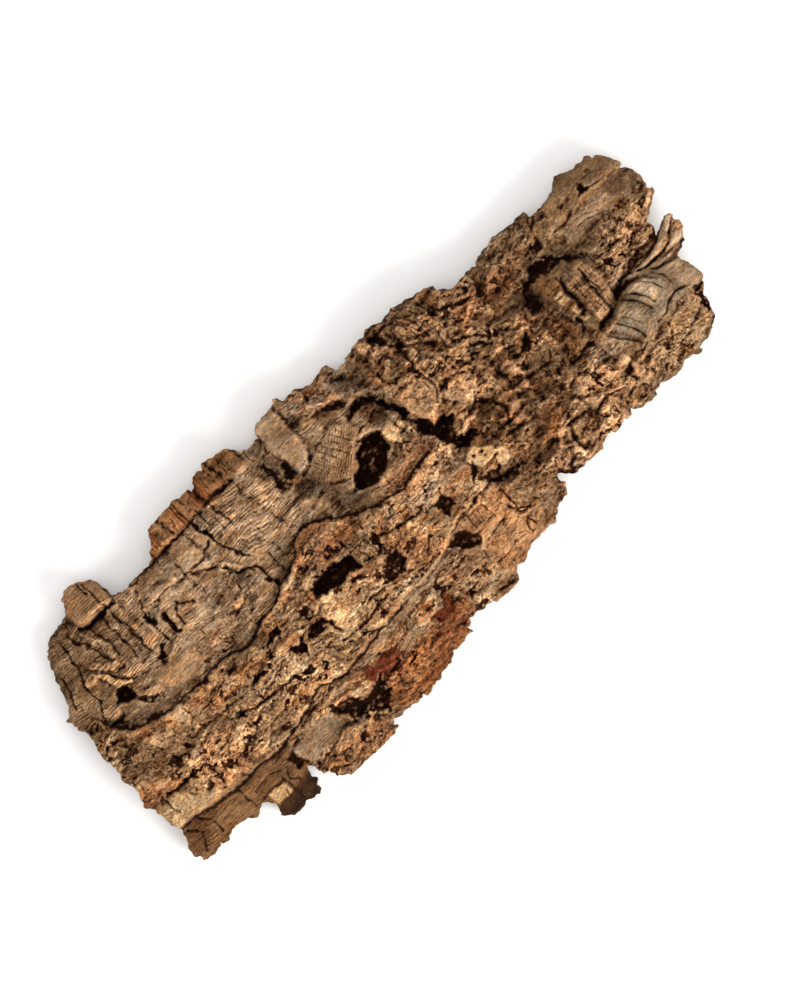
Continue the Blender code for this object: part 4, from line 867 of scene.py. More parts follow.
# %% Lists of hollows
# Hollows: points round the mouth, depth, width of the wall
HOLLOWS = [
    ([(-129, 19), (-126, 22), (-122.5, 20.5), (-123, 17.5), (-126, 15.5)], 5, 1.6),
    ([(0.3, 21.5), (5, 24), (12.5, 21.5), (11.5, 15), (5, 10.5), (-3, 8.5), (-9, 12), (-5, 15.5)], 12, 2.2),
    ([(-49, -3.5), (-40, -0.5), (-28, -3), (-28, -9.5), (-44, -7.5)], 7.5, 1.8),
    ([(-27, -19), (-22, -16.5), (-18.5, -14), (-14, -14), (-13.5, -19), (-18, -22), (-26, -21)], 4.2, 1.6),
    ([(-75, -5), (-65, -2.6), (-66, -6)], 4, 1.4),
    ([(-89, -13), (-81, -9.5), (-80, -12.5)], 3.6, 1.4),
    ([(-70, -12), (-65, -18.5), (-61, -12), (-65, -13.5)], 4, 1.4),
    ([(-74, -40), (-66, -41), (-62, -45.5), (-53, -44.5), (-52, -50), (-58, -55), (-66, -49), (-70, -48)], 5,
     1.8),
    ([(7.5, -12.5), (10.5, -12), (13, -10), (14.8, -15), (13.5, -18), (11, -18), (8.5, -19.5), (7.6, -17)],
     5, 1.4),
    ([(0, -27), (7.5, -26), (11.5, -31.5), (10, -35), (4.5, -33)], 4.5, 1.6),
    ([(24, 16), (27, 14.5), (29.5, 8.5), (34, 8), (37, 7), (36, 4.5), (33, 2.5), (32, -0.5), (37.5, -2),
     (38.5, -4), (33, -6), (29.5, -4), (26.8, 0), (25.8, 5), (25, 10)], 7, 1.4),
    ([(28.5, -18), (36, -19), (33, -24), (30, -23)], 4.5, 1.6),
    ([(90, 20), (95, 25.5), (104, 23.5), (109, 17), (102, 18.5), (96, 20)], 6, 2),
    ([(84, 12), (86, 18), (90, 24.5), (92.5, 22), (90, 16), (87, 11)], 3, 1.4),
    ([(24, -17), (26, -13), (29, -11), (28, -15)], 2.5, 1.2),
    ([(-99, -41), (-95, -40), (-94, -47), (-98, -47)], 4, 1.4),
    ([(93.5, -26.5), (98, -27), (95, -32.5)], 4, 1.4),
    ([(128, 31), (133, 31), (131, 34.5)], 3, 1.4),
    ([(4.5, 41), (9, 41.5), (11.5, 38.5), (10, 36.5), (6, 38)], 3, 1.4),
]

# Holes: points round the mouth, depth, width of the wall
HOLES = [
    ([(-129.5, 19), (-126.5, 22.3), (-124.5, 22.8), (-122.3, 21.3), (-121.5, 18), (-121.8, 15.4), (-124, 16),
     (-126.5, 16)], 5, 1),
    ([(-122, 15), (-120, 14.6), (-115.5, 10.5), (-119, 10.2)], 3.4, 0.8),
    ([(-138, 14.5), (-130, 15), (-130.5, 11), (-134, 10)], 2.2, 1),
    ([(-145.5, 19.5), (-140, 19.5), (-139, 16), (-144, 16.5)], 2.2, 1),
    ([(-105.6, 17), (-105, 20), (-103.2, 20.3), (-101.2, 23.7), (-100.3, 23), (-102.6, 17.5), (-104, 15.8)],
     3.8, 0.8),
    ([(-94.3, 21), (-92, 21), (-92, 31), (-94, 31)], 3.4, 0.9),
    ([(-99, 35), (-96.5, 35.3), (-96.3, 30), (-98.8, 29)], 3, 0.9),
    ([(-110, 48), (-103, 47.5), (-103.5, 46), (-118, 46), (-118, 48)], 3, 1),
    ([(-91, -1.2), (-86, -1.5), (-87, -3.5), (-91, -3)], 3, 0.9),
    ([(-75, -4.6), (-65, -2.6), (-66, -5), (-74, -6)], 3, 0.9),
    ([(-75, -7), (-73.5, -7), (-73.5, -10), (-75.5, -10)], 2.4, 0.8),
    ([(-88, -12.5), (-82, -9.8), (-81, -12)], 3, 0.9),
    ([(-88.5, -15), (-87, -15), (-87, -19), (-88.5, -19)], 2.2, 0.8),
    ([(-69.5, -12), (-68, -12), (-65.5, -16), (-62.5, -11.5), (-62, -13), (-65, -18.5)], 3, 0.9),
    ([(-60, -13.5), (-57, -11.5), (-52.5, -11.5), (-51.5, -15), (-54, -17), (-59, -16)], 3.6, 0.9),
    ([(-56.5, -5), (-53, -5), (-52, -11), (-55.5, -10)], 2.4, 0.9),
    ([(-49, -3.5), (-45, -1), (-40, -0.5), (-36, -1), (-33, -1.5), (-30, -3), (-28, -4), (-28, -9.5), (-33,
     -8.5), (-37, -8.5), (-40, -7.5), (-44, -7.5), (-47, -6)], 3.5, 1.2),
    ([(-18.5, -4), (-15.5, -4), (-15.5, -9.5), (-18.5, -9.5)], 3.4, 0.9),
    ([(-130.5, -10), (-127, -9.5), (-125.5, -13.5), (-128, -15), (-130.5, -13)], 2.4, 1),
    ([(-123, -9.5), (-120.5, -9.5), (-119.5, -12.5), (-121.5, -12)], 1.8, 0.9),
    ([(-100, -16), (-98, -14.5), (-96, -16.5), (-97, -19), (-99.5, -18.5)], 2.2, 0.9),
    ([(-93.5, -31), (-88, -31.5), (-88, -34), (-92.5, -33.5)], 3.2, 1),
    ([(-98, -41), (-95.5, -43), (-95.5, -47), (-98, -46)], 2.4, 0.9),
    ([(-86.5, -60), (-83.5, -60), (-83.5, -62), (-86.5, -62)], 2, 0.8),
    ([(-7.5, -43.5), (-4, -44), (-4, -47), (-7, -47)], 2.6, 0.8),
    ([(-24, 31.5), (-20, 32.5), (-20, 39), (-23.5, 39)], 3.6, 1),
    ([(-28.5, 31), (-25, 30), (-25.5, 43), (-28.5, 44)], 2.2, 1.4),
    ([(9.5, 33), (12, 35.6), (17, 35.4), (20.5, 32), (23, 27), (25.5, 21), (26, 17), (24, 18), (21.8, 23),
     (20, 27.5), (16.5, 32.4), (13, 32.8)], 5, 0.8),
    ([(23, 12), (26, 13), (29, 8.5), (37, 7.5), (36, 5), (31, 6), (31, 2), (26, 3)], 4, 1.2),
    ([(70.5, 2.5), (72, 4), (71.5, 6), (74, 7.8), (77.5, 9.5), (76.5, 6), (74, 4), (72, 3)], 2.8, 0.8),
    ([(56, 15), (59, 15.5), (59, 19), (56, 18.5)], 2.4, 0.8),
    ([(52, -37.8), (55.5, -38), (55, -41.5), (52, -41)], 3, 1),
    ([(83, -19), (85.5, -20), (85, -24), (83, -23)], 2.8, 0.8),
    ([(80.5, -34), (82, -34), (82, -37), (80.5, -37)], 2.4, 0.8),
    ([(100, 26), (105, 26), (105, 31), (101, 30)], 2.6, 1.4),
    ([(106, 34), (110, 34.5), (110, 38), (106, 37.5)], 2.6, 1),
    ([(117, 8), (118.5, 7.5), (120, 3.8), (121.7, 3.5), (121, 1.8), (118.5, 2.5), (117, 5)], 2.8, 0.8),
    ([(95, 2.5), (96, 1), (95.2, -4), (93.5, -6.5), (93.6, -2)], 3, 0.8),
    ([(60, 19.5), (63, 18.2), (65.8, 14.8), (64.2, 14.2), (62.3, 16.8)], 2.6, 0.8),
    ([(34, 48), (38.5, 50), (38, 46), (35, 45)], 2.4, 1.2),
    ([(40.5, 44.5), (43, 43), (43, 37.5), (41, 38)], 2, 1),
    ([(25.8, 37.5), (27.6, 37.5), (27, 33.8), (25.8, 33.2)], 2.4, 0.7),
    ([(33, 19), (34.5, 20), (35, 18.5), (33.5, 18)], 1.2, 0.5), ([(45, 11), (46.5, 11), (46, 9.5)], 1.2, 0.5),
    ([(-112, 33), (-110.8, 35), (-110.8, 38), (-112, 36)], 1.4, 0.6),
    ([(33, -10.5), (34.2, -10), (34, -11.4), (33, -11.4)], 1, 0.4), ([(30.5, -9), (31.4, -9), (31, -10)], 1,
     0.4),
    ([(119.5, 31.8), (121.3, 31.8), (121.3, 33.6), (119.5, 33.6)], 1.8, 0.7),
    ([(123.2, 32.3), (124.6, 32.3), (124.6, 33.6), (123.2, 33.6)], 1.4, 0.6),
    ([(135.7, 35), (137.2, 35), (137.2, 36.4), (135.7, 36.4)], 1.4, 0.6),
    ([(129, 31), (132, 31), (132.3, 33.5), (129.5, 33.3)], 2.4, 0.8),
    ([(141, 11.3), (145.5, 13), (145, 14.2), (141, 13.2)], 2.6, 0.7),
    ([(123, 5.5), (126, 3), (131, 1.5), (130, 0), (124, 1)], 2.6, 0.9),
    ([(131.3, -33), (134, -33), (137.5, -25), (134, -26), (132.3, -29)], 2.6, 0.9),
    ([(68, 44), (72, 43), (76, 34), (74, 30), (80, 31), (80, 34)], 1.6, 2),
    ([(32, 43), (39, 44), (38, 49), (33, 49)], 2, 1.6),
    ([(48, -11), (49.6, -11), (49.6, -14), (48, -14)], 2.2, 0.8),
    ([(37, 48.5), (44, 50.2), (44, 48.2), (38, 46.5)], 1.6, 1),
]
print("hollows:", len(HOLLOWS), "holes:", len(HOLES))

# %% Hollows dug
FLOOR_LUMPS = 2.2            # how high the lumps stand in a hollow
hollow = np.zeros(X.shape)
lumps = fractal(X / 3.0, Y / 2.4, 36, 3, 0.6)
for points, depth, wall in HOLLOWS + HOLES:
    at = patch(points, 6.0)
    gap = edge_distance(TORN_X[at], TORN_Y[at], points) + 0.9 * lumps[at]
    pit = step(0.5 + 0.5 * gap / (0.45 * wall))
    height[at] -= depth * pit
    # Deeper pits are painted darker later, as shade
    hollow[at] = np.maximum(hollow[at], pit * min(0.5 + depth / 8.0, 1.0))
height += FLOOR_LUMPS * hollow * np.clip(lumps, 0.0, 1.0)
print("share of the slab that is hollow:", round(float(hollow[inside > 0].mean()), 3))

# %% [markdown]
# ## Lighter and darker places
# Some places are a little paler and stand a little higher, others lie in shade and are dull.
# Each is a soft oval or a soft line with a factor, all multiplied together into one field.
# It moves the ground up or down here, and it multiplies the colour later as painted light
# and painted shade.

# %% Painted light and shade
# Small places of painted light and shade, which also rise or sink a little: X and Y of the middle, half
# length, half width, factor
DAPPLES = [
    (-16, -17, 2.5, 3, 0.65), (120, -12, 4, 7, 1.1), (-61, 20, 5, 5, 0.65), (-107, 24, 4, 4, 0.68), (-74, -2,
     5, 4, 0.62), (-84, 0, 6, 3, 0.65), (-92, -13, 6, 4, 0.68),
    (-100, -18, 5, 4, 0.68), (-56, -11, 4, 5, 0.65), (-35, -1, 14, 2.2, 0.68), (-112, -34, 12, 2.5, 0.58),
    (-94, -33, 5, 3, 0.58), (-21, -2, 4, 4, 0.68), (-4, -18, 5, 4, 1.25), (88, 0, 4, 5, 1.35),
    (112, -4, 3, 3, 1.3), (124, 0, 4, 2, 1.25), (70, -2, 5, 4, 0.8), (-7.5, 46.5, 1.7, 4.2, 0.5), (-103, -44,
     5, 4, 0.68), (-70, -48, 6, 5, 0.68), (-60, -57, 8, 5, 0.65),
    (5, -51, 8, 4, 0.72), (17, 24, 5, 5, 0.62), (16, 40, 5, 4, 0.68), (24, 45, 4, 3, 0.68), (45, 45, 4, 4,
     0.68),
    (33, 5, 3, 3, 0.6), (69, 23, 4, 3, 0.72), (83, 16, 4, 4, 0.6), (105, 17, 4, 4, 0.6), (79, -13, 5, 4,
     0.58),
    (75, -29, 6, 4, 0.66), (60, -34, 4, 3, 0.72), (92, 39, 5, 3, 0.68),
    (114, -9, 4, 3, 0.78), (93, -4, 4, 3, 0.78), (40, -45, 8, 3, 0.72), (-134, 11, 7, 4, 0.78),
    (-143, 45, 5, 15, 0.78), (-128, 57, 7, 4, 0.68), (48, -3, 3, 3, 0.72), (58, 12, 3, 6, 0.78),
    (-97, 34, 3, 6, 0.78), (-50, 12, 3, 5, 0.78), (-82, -60, 10, 3, 0.78), (-75, 20, 5, 3, 0.82),
    (-4, 41, 7, 3, 1.3), (25, 34, 4, 5, 1.4), (39, 31, 3, 5, 1.35), (66, 32, 11, 4, 1.35), (84, 24, 4, 4,
     1.4),
    (74, 12, 4, 7, 1.35), (87, 9, 3, 5, 1.35), (102, 24, 4, 3, 1.3), (46, 19, 4, 5, 1.35), (33, 11, 6, 2,
     1.35),
    (26, -1, 2.5, 3, 1.4), (54, -6, 6, 6, 1.35), (53, -19, 5, 5, 1.4), (87, -22, 4, 8, 1.4), (98, -10, 4, 2,
     1.35),
    (108, -7, 5, 2, 1.2), (135, 18, 6, 2, 1.35), (135, 2, 4, 4, 1.35), (-2, -8, 9, 4, 1.25),
    (-37, -25, 5, 2, 1.3), (-47, -15, 4, 5, 1.35), (-67, 0, 2.5, 6, 1.35), (-86, 8, 4, 3, 1.35),
    (-87, 37, 9, 3, 1.2), (-88, 32, 4, 3, 1.15), (-123, 38, 4, 5, 1.3), (-138, 20, 4, 3, 1.3),
    (-134, -17, 6, 5, 1.35), (-102, -6, 4, 3, 1.25), (-73, -39, 6, 3, 1.3), (-47, -35, 6, 2.5, 1.25),
    (-38, -48, 6, 2, 1.3), (-9, -38, 5, 3, 1.3), (21, -26, 6, 3, 1.35), (-66, 52, 4, 3, 1.35), (-49, 50, 5,
     4, 1.35),
    (-34, 37, 6, 4, 1.15), (-5, 27, 5, 4, 1.3), (-57, 36, 7, 2, 1.15), (-87, -49, 5, 2, 1.25),
    (-108, 45, 5, 3, 1.2), (100, -33, 3, 6, 1.15), (121, -13, 3, 6, 1.15),
]

# Lines of painted shade along creases: factor, half width, points
BANDS = [
    (0.55, 3.2, [(-27, 48), (-22, 37), (-18, 28), (-15, 18), (-10, 9)]),
    (0.66, 2, [(111, -6), (114.5, -11), (116.5, -19)]), (0.8, 2, [(127, -8), (130, -14), (129, -20)]),
    (0.72, 1.6, [(104, -11), (108, -17), (109, -22)]), (0.75, 1.4, [(98, -13), (102, -18), (106, -24)]),
    (0.7, 2, [(14, 47), (18, 43), (22, 35)]),
]
DAPPLE_RISE = 1.6            # millimetres up for each whole step of the factor above 1
light_and_shade = np.ones(X.shape)
for x, y, half_long, half_wide, factor in DAPPLES:
    away = ((TORN_X - x) / half_long) ** 2 + ((TORN_Y - y) / half_wide) ** 2
    light_and_shade *= 1.0 + (factor - 1.0) * np.exp(-away ** 2)
for factor, half_width, points in BANDS:
    away = line_distance(TORN_X, TORN_Y, points) / half_width
    light_and_shade *= 1.0 + (factor - 1.0) * np.exp(-away ** 2)
height += DAPPLE_RISE * (1.0 - hollow) * (light_and_shade - 1.0)
print("with its forms, mm:", round(height[inside > 0].max(), 1))

# %% [markdown]
# ## The grain of each ground
# Cork grows in thin yearly layers, and weather takes them off one by one. So the ground
# stands in low terraces whose edges run along the slab, and rotten spots fall out of it as
# ragged pits. The mound is folded over itself, and the even bark hangs in pleats.

# %% Chunks and terraces
warp = noise(X / 6.0, Y / 4.0, 31)
weft = noise(X / 5.0, Y / 5.0, 32)
swirl = 5.0 * noise(X / 26.0, Y / 22.0, 33)


def chunks(long, wide, seed, lift, tilt):
    """Chunks of that length and width: each cell's height is a random lift and a random slope
    from its own middle. Also returns the cell's two random numbers."""
    number, other, to_x, to_y = cells((X + 1.7 * warp) / long, (Y + swirl + 1.3 * weft) / wide, seed)
    lean = 2.0 * np.pi * other
    slope = np.cos(lean) * to_x + np.sin(lean) * to_y
    return lift * (number - 0.5) + tilt * slope, number, other


large, large_number, large_lean = chunks(15.0, 6.0, 41, 1.2, 1.3)
small, small_number, _lean = chunks(5.2, 2.2, 42, 0.7, 0.7)
tiny, tiny_number, _lean = chunks(2.0, 1.25, 43, 0.40, 0.35)
layers = terraces(4.2 * fractal(TORN_X / 26.0, (TORN_Y + swirl) / 8.0, 46, 4, 0.5), 1.3, 0.22)
steps = terraces(2.2 * fractal(TORN_X / 7.0, (TORN_Y + swirl) / 3.4, 47, 3), 0.7, 0.25)
print("layers, mm:", round(layers.min(), 1), "to", round(layers.max(), 1))

# %% Pits
# Where the bark crumbles more than its kind: share, softness of the edge, points
CRUMBLY = [
    (0.9, 1, DARK_SLOT),
    (0.9, 3, [(-60, -40), (-10, -40), (-6, -48), (-14, -58), (-60, -62)]),
    (0.45, 2, TILTED_PLATE),
    (0.8, 4, [(-30, 22), (-20, 10), (-4, 8), (10, 24), (24, 16), (28, 0), (0, -2), (-20, 4)]),
    (0.7, 3, [(-8, 44), (-6, 58), (26, 54), (26, 36), (12, 38)]),
    (0.55, 3, [(84, 28), (84, -12), (100, -10), (112, -6), (112, 18), (100, 24)]),
    (0.9, 2, KNOB_SKIRT),
    (0.9, 3, [(60, 46), (60, 24), (106, 26), (108, 44)]),
    (0.7, 3, [(84, -26), (130, -24), (136, -42), (84, -44)]),
    (0.6, 3, [(-72, 30), (-62, 24), (-56, 10), (-72, 4), (-96, 2), (-96, 10), (-74, 14)]),
]
rotten = fractal(TORN_X / 5.0, TORN_Y / 3.6, 61, 4, 0.7)
where_rotten = 0.62 - 0.75 * step(0.5 + 1.1 * fractal(X / 17.0, Y / 10.0, 62, 2))
ragged = np.clip(crust + 0.8 * mound + 0.5 * narrow + 0.12 * even, 0.0, 1.0)
for share, soft, outline in CRUMBLY:
    ragged = np.maximum(ragged, share * blot(outline, soft))
pits = step((rotten - where_rotten - 0.35) / 0.14) * ragged * step(2.0 * calm - 0.6)
print("share in pits:", round(float(pits[inside > 0].mean()), 3))

# %% Cross cracks and pleats
COLUMN_WIDTH = 4.3           # millimetres between two cross cracks
column = (X + 1.6 * noise(X / 5.0, Y / 9.0, 66)) / COLUMN_WIDTH
column_number = np.floor(column)
column_open = step(2.0 * noise(column_number * 5.17 + 0.5, Y / 6.0, 67) - 0.35)
cross_crack = step(1.0 - np.abs(column - column_number - 0.5) / 0.085) * column_open
pleat = 1.0 - 2.2 * np.abs(noise((X + 2.5 * weft) / 7.5, Y / 26.0, 57))
fan_end = blot([(-150, 20), (-150, 60), (-94, 60), (-94, 24)], 4.0)
pleated = step(0.5 + 1.3 * noise(X / 24.0, Y / 30.0, 58)) + fan_end
print("share cross-cracked:", round(float(cross_crack[inside > 0].mean()), 3))

# %% Relief of each ground
crust_relief = 0.75 * layers + 0.5 * large + 0.8 * steps + 0.7 * small + 0.7 * tiny
fold_y = Y - 1.4 * swirl + 2.0 * warp
fold = 1.0 - 2.4 * np.abs(fractal((X + 2.2 * swirl) / 13.0, fold_y / 8.0, 55, 3, 0.5))
second_fold = 1.0 - 2.2 * np.abs(noise((X + swirl + 2.0 * weft) / 4.2, (Y - swirl) / 3.0, 56))
mound_relief = 1.9 * fold + 0.9 * second_fold + 0.8 * large + 1.0 * steps + 0.7 * small + 0.6 * tiny
even_relief = 0.9 * pleat * np.clip(pleated, 0.0, 1.0)
even_relief = even_relief + 0.7 * layers + 0.4 * steps + 0.15 * small + 0.15 * tiny
long_fold = 1.0 - 2.2 * np.abs(noise(X / 15.0, (Y + swirl) / 5.0 + 0.4 * warp, 60))
narrow_relief = 1.0 * long_fold + 0.5 * layers + 0.9 * steps + 0.7 * small + 0.7 * tiny
relief = calm * (crust * crust_relief + mound * mound_relief + even * even_relief + narrow * narrow_relief)
PIT_DEPTH = 1.5
relief += 0.2 * fractal(X / 1.3, Y / 1.1, 63, 2) * (0.3 + ragged * calm) - PIT_DEPTH * pits
extra = np.clip(ragged - crust - 0.8 * mound - 0.5 * narrow, 0.0, 1.0) * calm
relief += extra * (0.6 * steps + 0.5 * small + 0.5 * tiny)
crackable = np.clip(0.9 * even + 0.55 * crust + 0.7 * mound + 0.6 * narrow, 0.0, 1.0)
relief -= 1.0 * calm * cross_crack * crackable
height += relief
print("relief, mm:", round(relief.min(), 1), "to", round(relief.max(), 1))

# %% [markdown]
# ## Ribs that follow the surface
# The yearly layers come out as fine ribs, a little over a millimetre apart. Over most of the
# slab they run along it and wave with its folds. On the barrel they bend in arcs, on the
# blocks at the rim they stand upright, and on the mound they turn with each fold. So each
# point gets its place across the ribs, in millimetres. Each rib has its own number, and a
# noise of that number and the place along it opens and closes the groove between two ribs.

# %% Place across the ribs
RIB_SPACING = 1.2
FAN_EDGES = (-139.0, -130.0, -121.0, -115.0, -110.5, -106.0, -98.5)
BARREL = [(98, -12), (104, -9), (116, -5), (130, -7), (142, -10), (144, -24), (128, -26), (96, -27)]
EDGE_BLOCKS = [(-82, 48), (-31, 48), (-31, 64), (-82, 64)]
UPRIGHT = [[(-56, -36), (-40, -36), (-40, -48), (-56, -48)],
           [(-24, -38), (-11, -38), (-11, -47), (-24, -47)],
           EDGE_BLOCKS, [(-117, -48), (-95, -48), (-95, -64), (-117, -64)]]
rib_place = Y + 0.35 * swirl + 1.5 * noise(X / 13.0, Y / 8.0, 95) + 0.25 * noise(X / 4.0, Y / 3.0, 96)
turned = Y + 0.55 * X + 2.4 * swirl + 2.0 * noise(X / 9.0, Y / 9.0, 94)
upright = X + 0.25 * Y + 1.2 * swirl + 1.2 * noise(X / 8.0, Y / 12.0, 99)
rib_place = rib_place + (mound > 0.5) * (large_number > 0.3) * (turned - rib_place)
rib_place = rib_place + (mound > 0.5) * (Y > 17.0 + 5.0 * warp) * (large_lean > 0.25) * (upright - rib_place)
fan_column = np.digitize(X + 0.12 * (Y - 35.0) + 0.5 * noise(X / 3.0, Y / 6.0, 34), FAN_EDGES)
fan = blot([(-150, 17), (-150, 60), (-95, 60), (-95, 20), (-112, 15)], 1.0) > 0.5
rib_place = rib_place + fan * (0.45 * fan_column + 0.6 * noise(X / 2.8 + 7.0 * fan_column, Y / 5.0, 35))
arcs = X + 0.058 * np.maximum(Y + 19.0, 0.0) ** 2 + 0.6 * step((116.0 - X) / 10.0) * (Y + 19.0)
along = 1.5 * (Y + 0.012 * (X - 119.0) ** 2)
rib_place = rib_place + (blot(BARREL, 1.5) > 0.5) * (along - rib_place)
hatch = 1.25 * (0.82 * Y - 0.57 * X) + 0.5 * noise(X / 4.0, Y / 4.0, 102)
rib_place = rib_place + (blot(TILTED_PLATE, 1.0) > 0.5) * (hatch - rib_place)
strips = 0.62 * X + 1.3 * noise(X / 4.0, Y / 14.0, 97)
for outline in UPRIGHT:
    rib_place = rib_place + (blot(outline, 1.0) > 0.5) * (strips - rib_place)
print("ribs across the slab:", int(np.ptp(rib_place[inside > 0]) / RIB_SPACING))

# %% Where ribs show
# How strongly ribs show: share, softness of the edge, points
RIB_ZONES = [
    (0.35, 3, [(-92, 36), (-74, 34), (-60, 38), (-60, 44), (-92, 44)]),
    (1, 2, [(-60, 48), (-30, 48), (-28, 20), (-40, 17), (-54, 22), (-60, 36)]),
    (0.45, 2, PLANK),
    (0.95, 1.2, TILTED_PLATE),
    (0.25, 3, [(-30, 20), (-10, 14), (10, 24), (24, 14), (28, 0), (0, -2), (-20, 6)]),
    (1, 1.5, [(-150, 18), (-150, 60), (-95, 60), (-95, 20), (-112, 16)]),
    (0.8, 1, PEG),
    (0.25, 1, [(-111, 6), (-95, 7), (-93, 14), (-104, 16), (-111, 14)]),
    (0.8, 1.5, [(-156, -32), (-134, -33), (-122, -36), (-95, -37), (-95, -48), (-156, -50)]),
    (0.25, 1.5, PANEL_AND_RIM),
    (0.1, 1.5, [(-146, -30), (-124, -33.5), (-127, -27), (-137, -20), (-146, -20)]),
    (0.6, 2, [(60, 46), (46, 50), (28, 46), (28, 27), (46, 20), (62, 26)]),
    (0.05, 1, BROAD_FLAKE),
    (0.05, 1, ROUND_FLAKE),
    (0.05, 1, CREAM_LUMP),
    (0.7, 2, [(62, -26), (80, -26), (82, -38), (62, -38)]),
    (0.6, 1.5, [(100.5, 12), (106, 12), (106, -8), (100.5, -8)]),
    (0.7, 1.5, [(85, -12), (99, -13), (100, -21), (86, -21)]),
    (0.45, 1.5, SPLIT_BAND),
    (0.15, 2, [(108, 29), (150, 30), (150, 42), (108, 42)]),
    (0.1, 2, KNOB_SKIRT),
    (0.5, 1.5, [(102, -9), (116, -5), (130, -7), (140, -10), (141, -23), (128, -21), (104, -25)]),
]
RIB_DEPTH = 0.35
rib_number = np.floor(rib_place / RIB_SPACING)
rib_phase = rib_place / RIB_SPACING - rib_number
rib_open = 0.25 + 0.75 * step(0.5 + 1.5 * noise(X / 7.0 + 0.3 * Y, rib_number * 3.71 + 0.5, 98))
ribbed_crust = step(0.1 + 1.8 * fractal(X / 16.0, Y / 8.0, 100, 2))
rib_show = np.clip(0.65 * even + crust * (0.05 + 0.45 * ribbed_crust) + 0.35 * mound + 0.3 * narrow, 0.0, 1.0)
for share, soft, outline in RIB_ZONES:
    rib_show += (share - rib_show) * blot(outline, soft)
rib_show *= (1.0 - hollow) * (1.0 - 0.7 * pits)
rib_show *= step(3.2 - np.hypot(*np.gradient(rib_place, STEP)))
groove = rib_show * rib_open * step(1.0 - np.abs(rib_phase - 0.5) / 0.30)
height -= RIB_DEPTH * groove
print("ribs show on average:", round(float(rib_show[inside > 0].mean()), 2))

# %% [markdown]
# ## Light and dark in the relief
# Low ground is painted darker, as the shade that falls in hollows, pits and cracks, and high ground
# is painted paler, partly rubbed wear and partly a painted highlight. The height less the mean
# height around it says which is which, at several sizes. The mean is a blur by a bell curve.

# %% Blur and cavity
def blurred(values, size):
    """Mean of values around each point, weighted by a bell of that size, bark only."""
    fx = np.fft.fftfreq(X.shape[0], STEP)[:, None]
    fy = np.fft.rfftfreq(X.shape[1], STEP)[None, :]
    bell = np.exp(-2.0 * (np.pi * size) ** 2 * (fx ** 2 + fy ** 2))
    on = (inside > 0).astype(float)
    weight = np.fft.irfft2(np.fft.rfft2(on) * bell, X.shape)
    total = np.fft.irfft2(np.fft.rfft2(values * on) * bell, X.shape)
    return total / np.maximum(weight, 1e-3)


# %% Cavity and crest
# Size of the blur, and the height difference that counts as full at that size
SCALES = ((0.5, 0.6), (1.5, 2.6), (5.0, 7.0))
inner = 1.0 - 0.75 * step((lumps - 0.15) / 0.25)
# Painted shade of low ground: hollows, less on the lumps in their floor, pits, rib grooves, cross cracks,
# crack bottoms, and ground below the mean height around it
cavity_shade = hollow * inner + 0.6 * pits + 0.05 * groove + 0.3 * calm * cross_crack + dark
crest = np.zeros(X.shape)
for size, full in SCALES:
    below = (blurred(height - arch, size) - (height - arch)) / full
    cavity_shade += 0.42 * np.clip(below - 0.05, 0.0, 1.3)
    crest += 0.45 * np.clip(-below, 0.0, 1.2)
cavity_shade = np.clip(cavity_shade, 0.0, 1.0)
crest = np.clip(crest, 0.0, 1.0)
print("mean cavity:", round(float(cavity_shade[inside > 0].mean()), 2))

# %% [markdown]
# ## The worn rim and the underside
# The top edge is rounded by wear. The underside is a shallow hollow that keeps the curve
# of the wood, with long folds, and it comes down to the floor at three low flat spots.

# %% Rim and underside
RIM_ROUND = 2.0
LEAST_WALL = 3.6
BELLY_RISE = 13.0
RIM_LIFT = 1.6
BELLY_FOLDS = 0.9
FOOT_RADIUS = 6.0
FOOT_SLOPE = 0.8
FEET = [(-124.0, -38.0), (112.0, -31.0), (-22.0, 45.0)]
worn = RIM_ROUND - np.clip(inside, 0.0, RIM_ROUND)
height += np.sqrt(RIM_ROUND ** 2 - worn ** 2) - RIM_ROUND


def under_surface(x, y, inward):
    """Height of the underside: a parabola across the slab, long folds, a lift at the very
    edge, and a cone cut flat at each foot."""
    z = RIM_LIFT + BELLY_RISE * (1.0 - across(x, y)[0] ** 2) + BELLY_FOLDS * noise(x / 26.0, y / 6.0, 7)
    z += 0.25 * noise(x / 9.0, y / 1.8, 64) + 2.5 * step(1.0 - inward / 2.5)
    for fx, fy in FEET:
        reach = np.hypot(x - fx, y - fy)
        z = np.minimum(z, FOOT_SLOPE * np.maximum(reach - FOOT_RADIUS, 0.0))
    return np.maximum(z, 0.0)


# %% [markdown]
# ## Which squares are bark
# A square of the grid is kept when its middle lies inside the outline. Squares that touch at
# one corner only, or that hang on nothing, would make a mesh that isn't closed, so they go.
# The points on the rim are then pulled onto the outline along its slope.

# %% Choosing squares
def corner_count(kept):
    """How many kept squares meet at each grid point."""
    count = np.zeros((kept.shape[0] + 1, kept.shape[1] + 1), dtype=int)
    for di in (0, 1):
        for dj in (0, 1):
            count[di:di + kept.shape[0], dj:dj + kept.shape[1]] += kept
    return count


def spread_from(seed_squares, kept):
    """The squares of kept that hang together with the seeds."""
    part = seed_squares & kept
    size = 0
    while part.sum() != size:
        size = part.sum()
        for _ in range(12):
            grown = part.copy()
            grown[1:] |= part[:-1]
            grown[:-1] |= part[1:]
            grown[:, 1:] |= part[:, :-1]
            grown[:, :-1] |= part[:, 1:]
            part = grown & kept
    return part


def no_corner_touch(kept):
    """kept without squares that touch another at a corner only."""
    kept = kept.copy()
    for _ in range(8):
        a = kept[:-1, :-1] & kept[1:, 1:] & ~kept[1:, :-1] & ~kept[:-1, 1:]
        b = kept[1:, :-1] & kept[:-1, 1:] & ~kept[:-1, :-1] & ~kept[1:, 1:]
        kept[:-1, :-1] &= ~a
        kept[1:, :-1] &= ~b
    return kept


